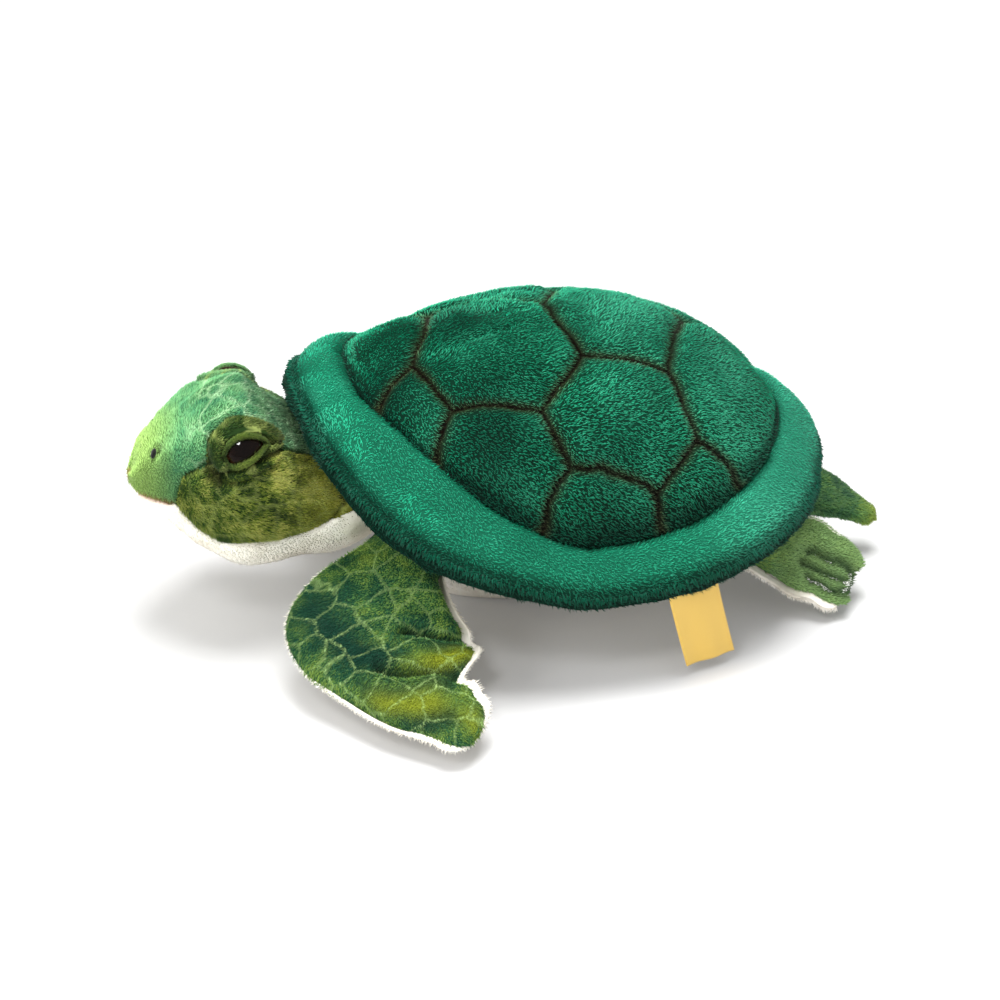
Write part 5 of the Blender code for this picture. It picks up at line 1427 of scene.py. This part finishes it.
def limb_surface(limb, rows, columns):
    """A limb's grid in its own frame, with each point's share of the length and place across it."""
    length, half_chord, half_thickness = limb["length"], limb["half_chord"], limb["half_thickness"]
    root_radius = limb["root_radius"]
    tip = half_chord * limb["widths"][-1][1]
    rear = -root_radius * np.cos(np.linspace(0, pi / 2, rows // 6, endpoint=False))
    front = np.linspace(0, length - tip, rows - rows // 3, endpoint=False)
    end = length - tip + tip * np.sin(np.linspace(0, pi / 2, rows // 3 - rows // 6))
    along = np.concatenate([rear, front, end])
    closing = np.sqrt(np.clip(1 - (along / root_radius) ** 2, 0, 1))
    rounding = np.sqrt(np.clip(1 - ((along - length + tip) / tip) ** 2, 0, 1))
    ending = np.where(along > length - tip, rounding, 1)
    share = np.clip(along / (length - tip), 0, 1)
    thick = half_thickness * eased_table(limb["thicknesses"], share) * ending
    blade = eased_table(limb["widths"], share) * half_chord * ending
    width = np.where(along < 0, limb["root_half"] * closing, blade)
    thick = np.where(along < 0, root_radius * closing, thick)
    turn = np.linspace(0, pi, columns)
    turn = np.concatenate([turn, turn + pi])
    straight = np.stack([along[:, None] + 0 * turn, width[:, None] * np.cos(turn),
                         thick[:, None] * np.sin(turn)], -1)
    fine = np.linspace(0, 1, LIMB_STEPS)
    bend = limb["turn"] * fine * fine * (3 - 2 * fine)
    step = length / (LIMB_STEPS - 1)
    path_x = np.append(0, np.cumsum(np.cos((bend[1:] + bend[:-1]) / 2))) * step
    path_y = np.append(0, np.cumsum(np.sin((bend[1:] + bend[:-1]) / 2))) * step
    reach = straight[..., 0] / length
    aim = np.interp(reach, fine, bend)
    x = np.where(reach < 0, straight[..., 0], np.interp(reach, fine, path_x))
    y = np.interp(reach, fine, path_y)
    sag = limb["sag"] * (1 - np.cos(2 * pi * np.clip(reach, 0, 1))) / 2
    form = np.stack([x - straight[..., 1] * np.sin(aim), y + straight[..., 1] * np.cos(aim),
                     straight[..., 2] - sag], -1)
    return form, reach, straight[..., 1] / np.maximum(width[:, None], 1e-6), straight[..., 2]


def limb_axes(heading, pitch, roll):
    """Rows are the left limb's X, Y and Z axes: heading about Z, then pitch about Y, roll about X."""
    turn = (Matrix.Rotation(heading, 3, "Z") @ Matrix.Rotation(-pitch, 3, "Y")
            @ Matrix.Rotation(roll, 3, "X"))
    return np.array(turn).T


FLIPPER_THICKNESS = ((0, 1), (0.3, 1), (0.6, 0.78), (0.85, 0.55), (1, 0.42))
FRONT_FLIPPER = {
    "length": 0.115, "half_chord": 0.0335, "half_thickness": 0.0085, "root_half": 0.015,
    "root_radius": 0.0085, "turn": radians(85), "sag": 0.006,
    "widths": ((0, 0.015 / 0.0335), (0.12, 0.52), (0.26, 0.80), (0.42, 1.0), (0.55, 0.90), (0.70, 0.68),
               (0.85, 0.54), (1, 0.32)), "thicknesses": FLIPPER_THICKNESS,
    "lime": ((0.64, 0.90), (0.62, 0.60), (0.70, -0.55), (0.76, -0.15), (0.80, 0.25), (0.95, 0.50)),
    "teal": ((0.34, -0.75), (0.42, -0.50), (0.50, -0.35), (0.55, -0.05), (0.72, 0.95), (0.84, -0.55),
             (0.86, 0.05)),
    "wide_fringe": 1,
    "near_edge": ((0, 0), (0.3, 0), (0.45, 0.0014), (0.52, 0.0056), (0.59, 0.0112), (0.65, 0.0130),
                  (0.71, 0.0106), (0.75, 0.0058), (0.785, 0.0028), (0.83, 0.0066), (0.90, 0.0074),
                  (0.96, 0.0058), (1, 0.0025)),
    "far_edge": ((0, 0), (0.2, 0), (0.3, 0.0002), (0.4, 0), (0.5, -0.0014), (0.6, -0.0044),
                 (0.72, -0.0058), (0.85, -0.0044), (0.95, -0.0014), (1, 0)),
    "place": (0.028667, -0.055613, 0.039377), "axes": limb_axes(radians(-41), radians(-14), radians(-10))}
REAR_FLIPPER = {
    "length": 0.055, "half_chord": 0.0175, "half_thickness": 0.0065, "root_half": 0.011,
    "root_radius": 0.0065, "turn": 0, "sag": 0.002,
    "widths": ((0, 0.011 / 0.0175), (0.3, 0.78), (0.6, 0.94), (0.8, 1), (1, 0.82)),
    "thicknesses": FLIPPER_THICKNESS, "wide_fringe": -1, "brown": ((0.22, -0.3), (0.25, 0.1), (0.28, 0.5)),
    "pale": (0.24, 0.52), "net": 0.25, "toes": 0.0042,
    "near_edge": ((0, 0), (0.3, 0.0020), (0.45, 0.0050), (0.7, 0.0062), (0.85, 0.0056), (1, 0.0040)),
    "far_edge": ((0, 0), (0.3, -0.0034), (0.5, -0.0044), (0.7, -0.0024), (0.88, 0.0014), (1, 0.0024)),
    "place": (0.023795, 0.063328, 0.029279), "axes": limb_axes(radians(66), radians(-20), radians(24))}
TAIL_SHARES = ((0, 1), (0.35, 0.96), (0.6, 0.82), (0.8, 0.62), (1, 0.46))
TAIL = {
    "length": 0.061, "half_chord": 0.012, "half_thickness": 0.012, "root_half": 0.012,
    "root_radius": 0.012, "turn": 0, "sag": -0.001, "widths": TAIL_SHARES, "thicknesses": TAIL_SHARES,
    "place": (0.0, 0.076422, 0.041864), "axes": limb_axes(radians(90), radians(-26), 0)}

# %% [markdown]
# The front flippers have two tucks across them from the rear edge, which pull the cloth in to a
# notch, and the rear ones have three grooves between their toes.

# %% Limb pieces
FRONT_TUCKS = (((0.78, 1.0), (0.69, 0.59), (0.59, -0.16)), ((0.50, 0.95), (0.46, 0.6), (0.44, 0.3)))
TOE_GROOVES = (((1.0, 0.42), (0.80, 0.40), (0.60, 0.30)), ((1.0, -0.08), (0.78, -0.06), (0.58, -0.02)),
               ((1.0, -0.55), (0.82, -0.50), (0.66, -0.38)))
TUCK_DEPTH, TUCK_WIDTH, TUCK_SHARE = 0.0030, 0.0022, 0.45
TUCK_RIDGE, TUCK_RIDGE_GAP = 0.0012, 0.0055
FRINGE_TOP_DRAW, FRINGE_UNDER_REACH = 0.0016, 0.0022
TOE_UNDER_DRAW, TOE_UNDER_DROP = 0.0032, 0.0012


def grid_route(form, reach, across, spots):
    """A line over a limb's top, from places given as shares of its length and half width."""
    starts = []
    for (a0, b0), (a1, b1) in zip(spots[:-1], spots[1:]):
        for t in np.linspace(0, 1, 7):
            gap = (reach - a0 - (a1 - a0) * t) ** 2 + 0.1 * (across - b0 - (b1 - b0) * t) ** 2
            starts.append(form[np.unravel_index(gap.argmin(), gap.shape)])
    line = np.array(starts)
    keep = np.append(True, np.linalg.norm(np.diff(line, axis=0), axis=1) > 1e-4)
    return line[keep][:-1], line[keep][1:]


def limb_panel(limb, top, rows, columns, inset, lines, seed):
    """Places, normals and values of a limb's top or underside panel."""
    half = slice(0, columns) if top else slice(columns, 2 * columns)
    form, reach, across, tall = (grid[:, half] for grid in limb_surface(limb, rows, columns))
    points = limb["place"] + (form + (HINGE_STAND_OFF, 0, 0)) @ limb["axes"]
    up = outward_normals(points, limb["axes"][2] * (1 if top else -1))
    gap = np.full(reach.shape, 1.0)
    for spots in lines:
        gap = np.minimum(gap, distance_to(points, *grid_route(points, reach, across, spots)))
    # First the outline: both edges are pushed out or in, and one panel stands past the other
    # as a fringe. Rear toe tips are scalloped, with the underside drawn back from them.
    free = soft_step(reach, 0.03, 0.15)
    edge = 1 - across ** 2
    sideways = unit(form[:, :1] - form[:, -1:]) @ limb["axes"] * (1 if top else -1)
    for key, side in (("near_edge", 1), ("far_edge", -1)):
        if key in limb:
            push = eased_table(limb[key], np.clip(reach, 0, 1)) * np.clip(side * across, 0, 1) ** 1.5
            points = points + side * sideways * push[..., None]
    aside = sideways * np.sign(across)[..., None]
    fringe = soft_step(across ** 2, 0.70, 0.96) * free
    wide = limb.get("wide_fringe", 0)
    band = soft_step(reach, 0.48, 0.72) * (wide > 0)
    cuff = 0.0005 - 0.0008 * band if top else 0.0006 + 0.0012 * band
    amount = np.where(np.sign(across) == wide, -FRINGE_TOP_DRAW if top else FRINGE_UNDER_REACH, cuff)
    points = points + aside * (amount * fringe)[..., None]
    if "toes" in limb:
        ahead = limb["toes"] * (soft_step(gap, 0.0006, 0.0040) - 0.5) * soft_step(reach, 0.80, 1.0)
        points = points + limb["axes"][0] * ahead[..., None]
        if not top:
            hidden = soft_step(reach, 0.80, 0.98)[..., None]
            points = points - hidden * (TOE_UNDER_DRAW * limb["axes"][0]
                                        + TOE_UNDER_DROP * limb["axes"][2])
    # Then the height: small unevenness and pressed tucks, never deeper than the limb is thick.
    lift = (0.0011 * wobble(points, 0.011, seed) + 0.0004 * wobble(points, 0.004, seed + 1)) * free
    lift = np.maximum(lift, -0.2 * np.abs(tall))
    groove = np.minimum(TUCK_DEPTH, TUCK_SHARE * np.abs(tall)) * bell(gap, TUCK_WIDTH) * free * (
        1 - 0.4 * soft_step(reach, 0.82, 1.0))
    lift += groove * (-1 if top else 1)
    if top:
        lift += TUCK_RIDGE * bell(gap - TUCK_RIDGE_GAP, 0.003) * free
    lift = lift * soft_step(edge, 0.0, 0.25) - free * np.minimum(
        inset * (2.0 - soft_step(reach, 0.12, 0.40)), 0.0003 + 0.4 * np.abs(tall))
    points = points + up * lift[..., None]
    up = outward_normals(points, up)
    # The tucks are darkened with painted shade.
    values = {"painted_tuck_shade": bell(gap, 0.0020), "net": free * limb.get("net", 1.0),
              "toe_tips": soft_step(reach, 0.72, 0.84) * soft_step(across, -0.92, -0.70) * ("toes" in limb)}
    values["pale"] = soft_step(reach, *limb["pale"]) if "pale" in limb else np.zeros(reach.shape)
    for key in ("lime", "teal", "brown"):
        values[key] = sum(np.exp(-((reach - r) / 0.06) ** 2 - ((across - a) / 0.32) ** 2)
                          for r, a in limb.get(key, ())) + np.zeros(reach.shape)
    lay = brushed(points, limb["axes"][0] + 0.5 * limb["axes"][1], 0.7, seed + 2)
    return points, up, values, reach, lay + (1 - top) * 1.5 * aside * fringe[..., None]


def limb_core(limb):
    """A limb's filling: its sections drawn in to their middles, and closed at both ends."""
    form = limb_surface(limb, 48, 24)[0]
    form = np.concatenate([form[:, :24], form[:, 25:-1]], 1)
    middle = form.mean(1, keepdims=True)
    tall = np.linspace(0.45, 0.12, len(form))[:, None]
    core = middle + (form - middle) * np.stack([0.62 + 0 * tall, 0.62 + 0 * tall, tall], -1)
    ends = [np.broadcast_to(core[row].mean(0), core[:1].shape) for row in (2, -3)]
    core = np.concatenate([ends[0], core[3:-3], ends[1]])
    return limb["place"] + (core + (HINGE_STAND_OFF, 0, 0)) @ limb["axes"]


# %% [markdown]
# The flippers are printed with larger scales than the head, over dark green with patches of
# lime and teal. The rear ones fade to a paler green. Both sides are made by one loop: the
# right limbs are the left ones mirrored, and each has its own pieces on its own body.

# %% Flippers
# Over the print, the tucks get painted shade.
flipper_plush = printed_plush("flipper_plush_pile", "#2E6648", "#5E9250", "#9CBE58", (
    ("pale", "#A4CC80", 0.80), ("brown", "#6A5F3E", 0.7), ("teal", "#23523F", 0.85),
    ("lime", "#B4C23A", 0.75), ("painted_tuck_shade", "#24422A", 0.85)), "#AECC80", 0.0125, 0.42, "net", patch=0.012,
    sharp=0.05, spread=0.25)
LIMBS = (
    ("front_flipper", FRONT_FLIPPER, 132, 56, FRONT_TUCKS, 17000, 8000),
    ("rear_flipper", REAR_FLIPPER, 84, 40, TOE_GROOVES, 7000, 3600))
for limb_name, limb, rows, columns, lines, top_count, under_count in LIMBS:
    for top in (True, False):
        panel = "top" if top else "underside"
        finish, slot = (flipper_plush, "flipper_plush") if top else (white_plush, "white_plush")
        points, up, values, reach, lay = limb_panel(
            limb, top, rows, columns, 0.0008, lines if top or "toes" in limb else (), 91)
        for side_name, mirror in SIDES:
            body = f"{limb_name}_{side_name}"
            piece = cover(f"{body}_{panel}_cover", points * mirror, up * mirror, finish, body, values)
            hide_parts(f"{body}_{panel}_panel")
            pile(f"{body}_{panel}_pile", points * mirror, up * mirror, lay * mirror,
                 top_count if top else under_count, finish, body, values, 95 + top,
                 density=(0.02 + soft_step(reach, 0.05, 0.15)) * (1 - (not top) * values["toe_tips"]),
                 length=np.full(reach.shape, 0.75))
    for side_name, mirror in SIDES:
        body = f"{limb_name}_{side_name}"
        add_filling(f"{body}_filling", limb_core(limb) * mirror, body, f"{body}_stuffing")

# %% [markdown]
# The tail is a small stuffed cone of the same cloth, with a lime tip.

# %% Tail
tail_plush = printed_plush("tail_plush_pile", "#3A6A4A", "#5A8E50", "#8CAE48", (
    ("tip_lime", "#A8B83C", 0.7),), "#7CA45C", 0.010, 0.3, "net", patch=0.02)
for top in (True, False):
    panel = "top" if top else "underside"
    points, up, values, reach, lay = limb_panel(TAIL, top, 84, 40, 0.0009, (), 101)
    values["tip_lime"] = soft_step(reach, 0.86, 0.97)
    piece = cover(f"tail_{panel}_cover", points, up, tail_plush, "tail", values)
    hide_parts(f"tail_{panel}_panel")
    pile(f"tail_{panel}_pile", points, up, lay, 5500, tail_plush, "tail", values, 105 + top,
         density=0.02 + soft_step(reach, 0.05, 0.15), length=np.full(reach.shape, 0.75))
add_filling("tail_filling", limb_core(TAIL), "tail", "tail_stuffing")

# %% [markdown]
# ## Care label
# A strip of gold satin hangs from the brim. Its print is left off, so only the weave shows.

# %% Label
LABEL_WIDTH, LABEL_LENGTH, LABEL_THICKNESS = 0.022, 0.033, 0.0005
LABEL_CURL, LABEL_LEAN, LABEL_TURN = 0.0015, radians(14), radians(21)
LABEL_PLACE = np.array([0.081074, 0.039777, 0.033542])
LABEL_SEAM_SHIFT = (0, -0.0015, 0.0035)

# Woven polyester satin: fine ribs both ways, drawn coarser than real threads so that they show.
satin, tree = new_material("gold_satin")
weave_map = node(tree, "ShaderNodeUVMap", uv_map="OFBake").outputs["UV"]
ribs = node(tree, "ShaderNodeTexWave", {"Vector": weave_map, "Scale": 36.0, "Distortion": 0.4},
            bands_direction="Y").outputs["Fac"]
threads = node(tree, "ShaderNodeTexWave", {"Vector": weave_map, "Scale": 30.0, "Distortion": 0.4},
               bands_direction="X").outputs["Fac"]
weave = node(tree, "ShaderNodeMath", {0: ribs, 1: threads}, operation="MULTIPLY").outputs[0]
tone = node(tree, "ShaderNodeMixRGB", {0: weave, 1: linear("#CFA640"), 2: linear("#E6C660")})
bump = node(tree, "ShaderNodeBump", {"Height": weave, "Strength": 0.25, "Distance": 0.0001})
shader = node(tree, "ShaderNodeBsdfPrincipled", {
    "Base Color": tone.outputs[0], "Roughness": 0.42, "Sheen Weight": 0.3, "Normal": bump.outputs[0]})
node(tree, "ShaderNodeOutputMaterial", {0: shader.outputs[0]})

down, across = np.broadcast_arrays(np.linspace(0, 1, 40)[:, None], np.linspace(-0.5, 0.5, 25)[None, :])
curl = LABEL_CURL * down ** 2 + 0.0004 * np.sin(3 * pi * across + 1) * down
x = curl
y = across * LABEL_WIDTH + down * LABEL_LENGTH * np.tan(LABEL_LEAN)
z = -down * LABEL_LENGTH * np.cos(LABEL_LEAN)
turn = np.array([[np.cos(LABEL_TURN), np.sin(LABEL_TURN), 0], [-np.sin(LABEL_TURN), np.cos(LABEL_TURN), 0],
                 [0, 0, 1]])
points = LABEL_PLACE + LABEL_SEAM_SHIFT + np.stack([x, y, z], -1) @ turn
label = cover("label_strip", points, outward_normals(points, np.array([1.0, 0, 0])), satin, "label",
              {}, thick=False)
thicken(label, LABEL_THICKNESS, 0)
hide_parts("label")
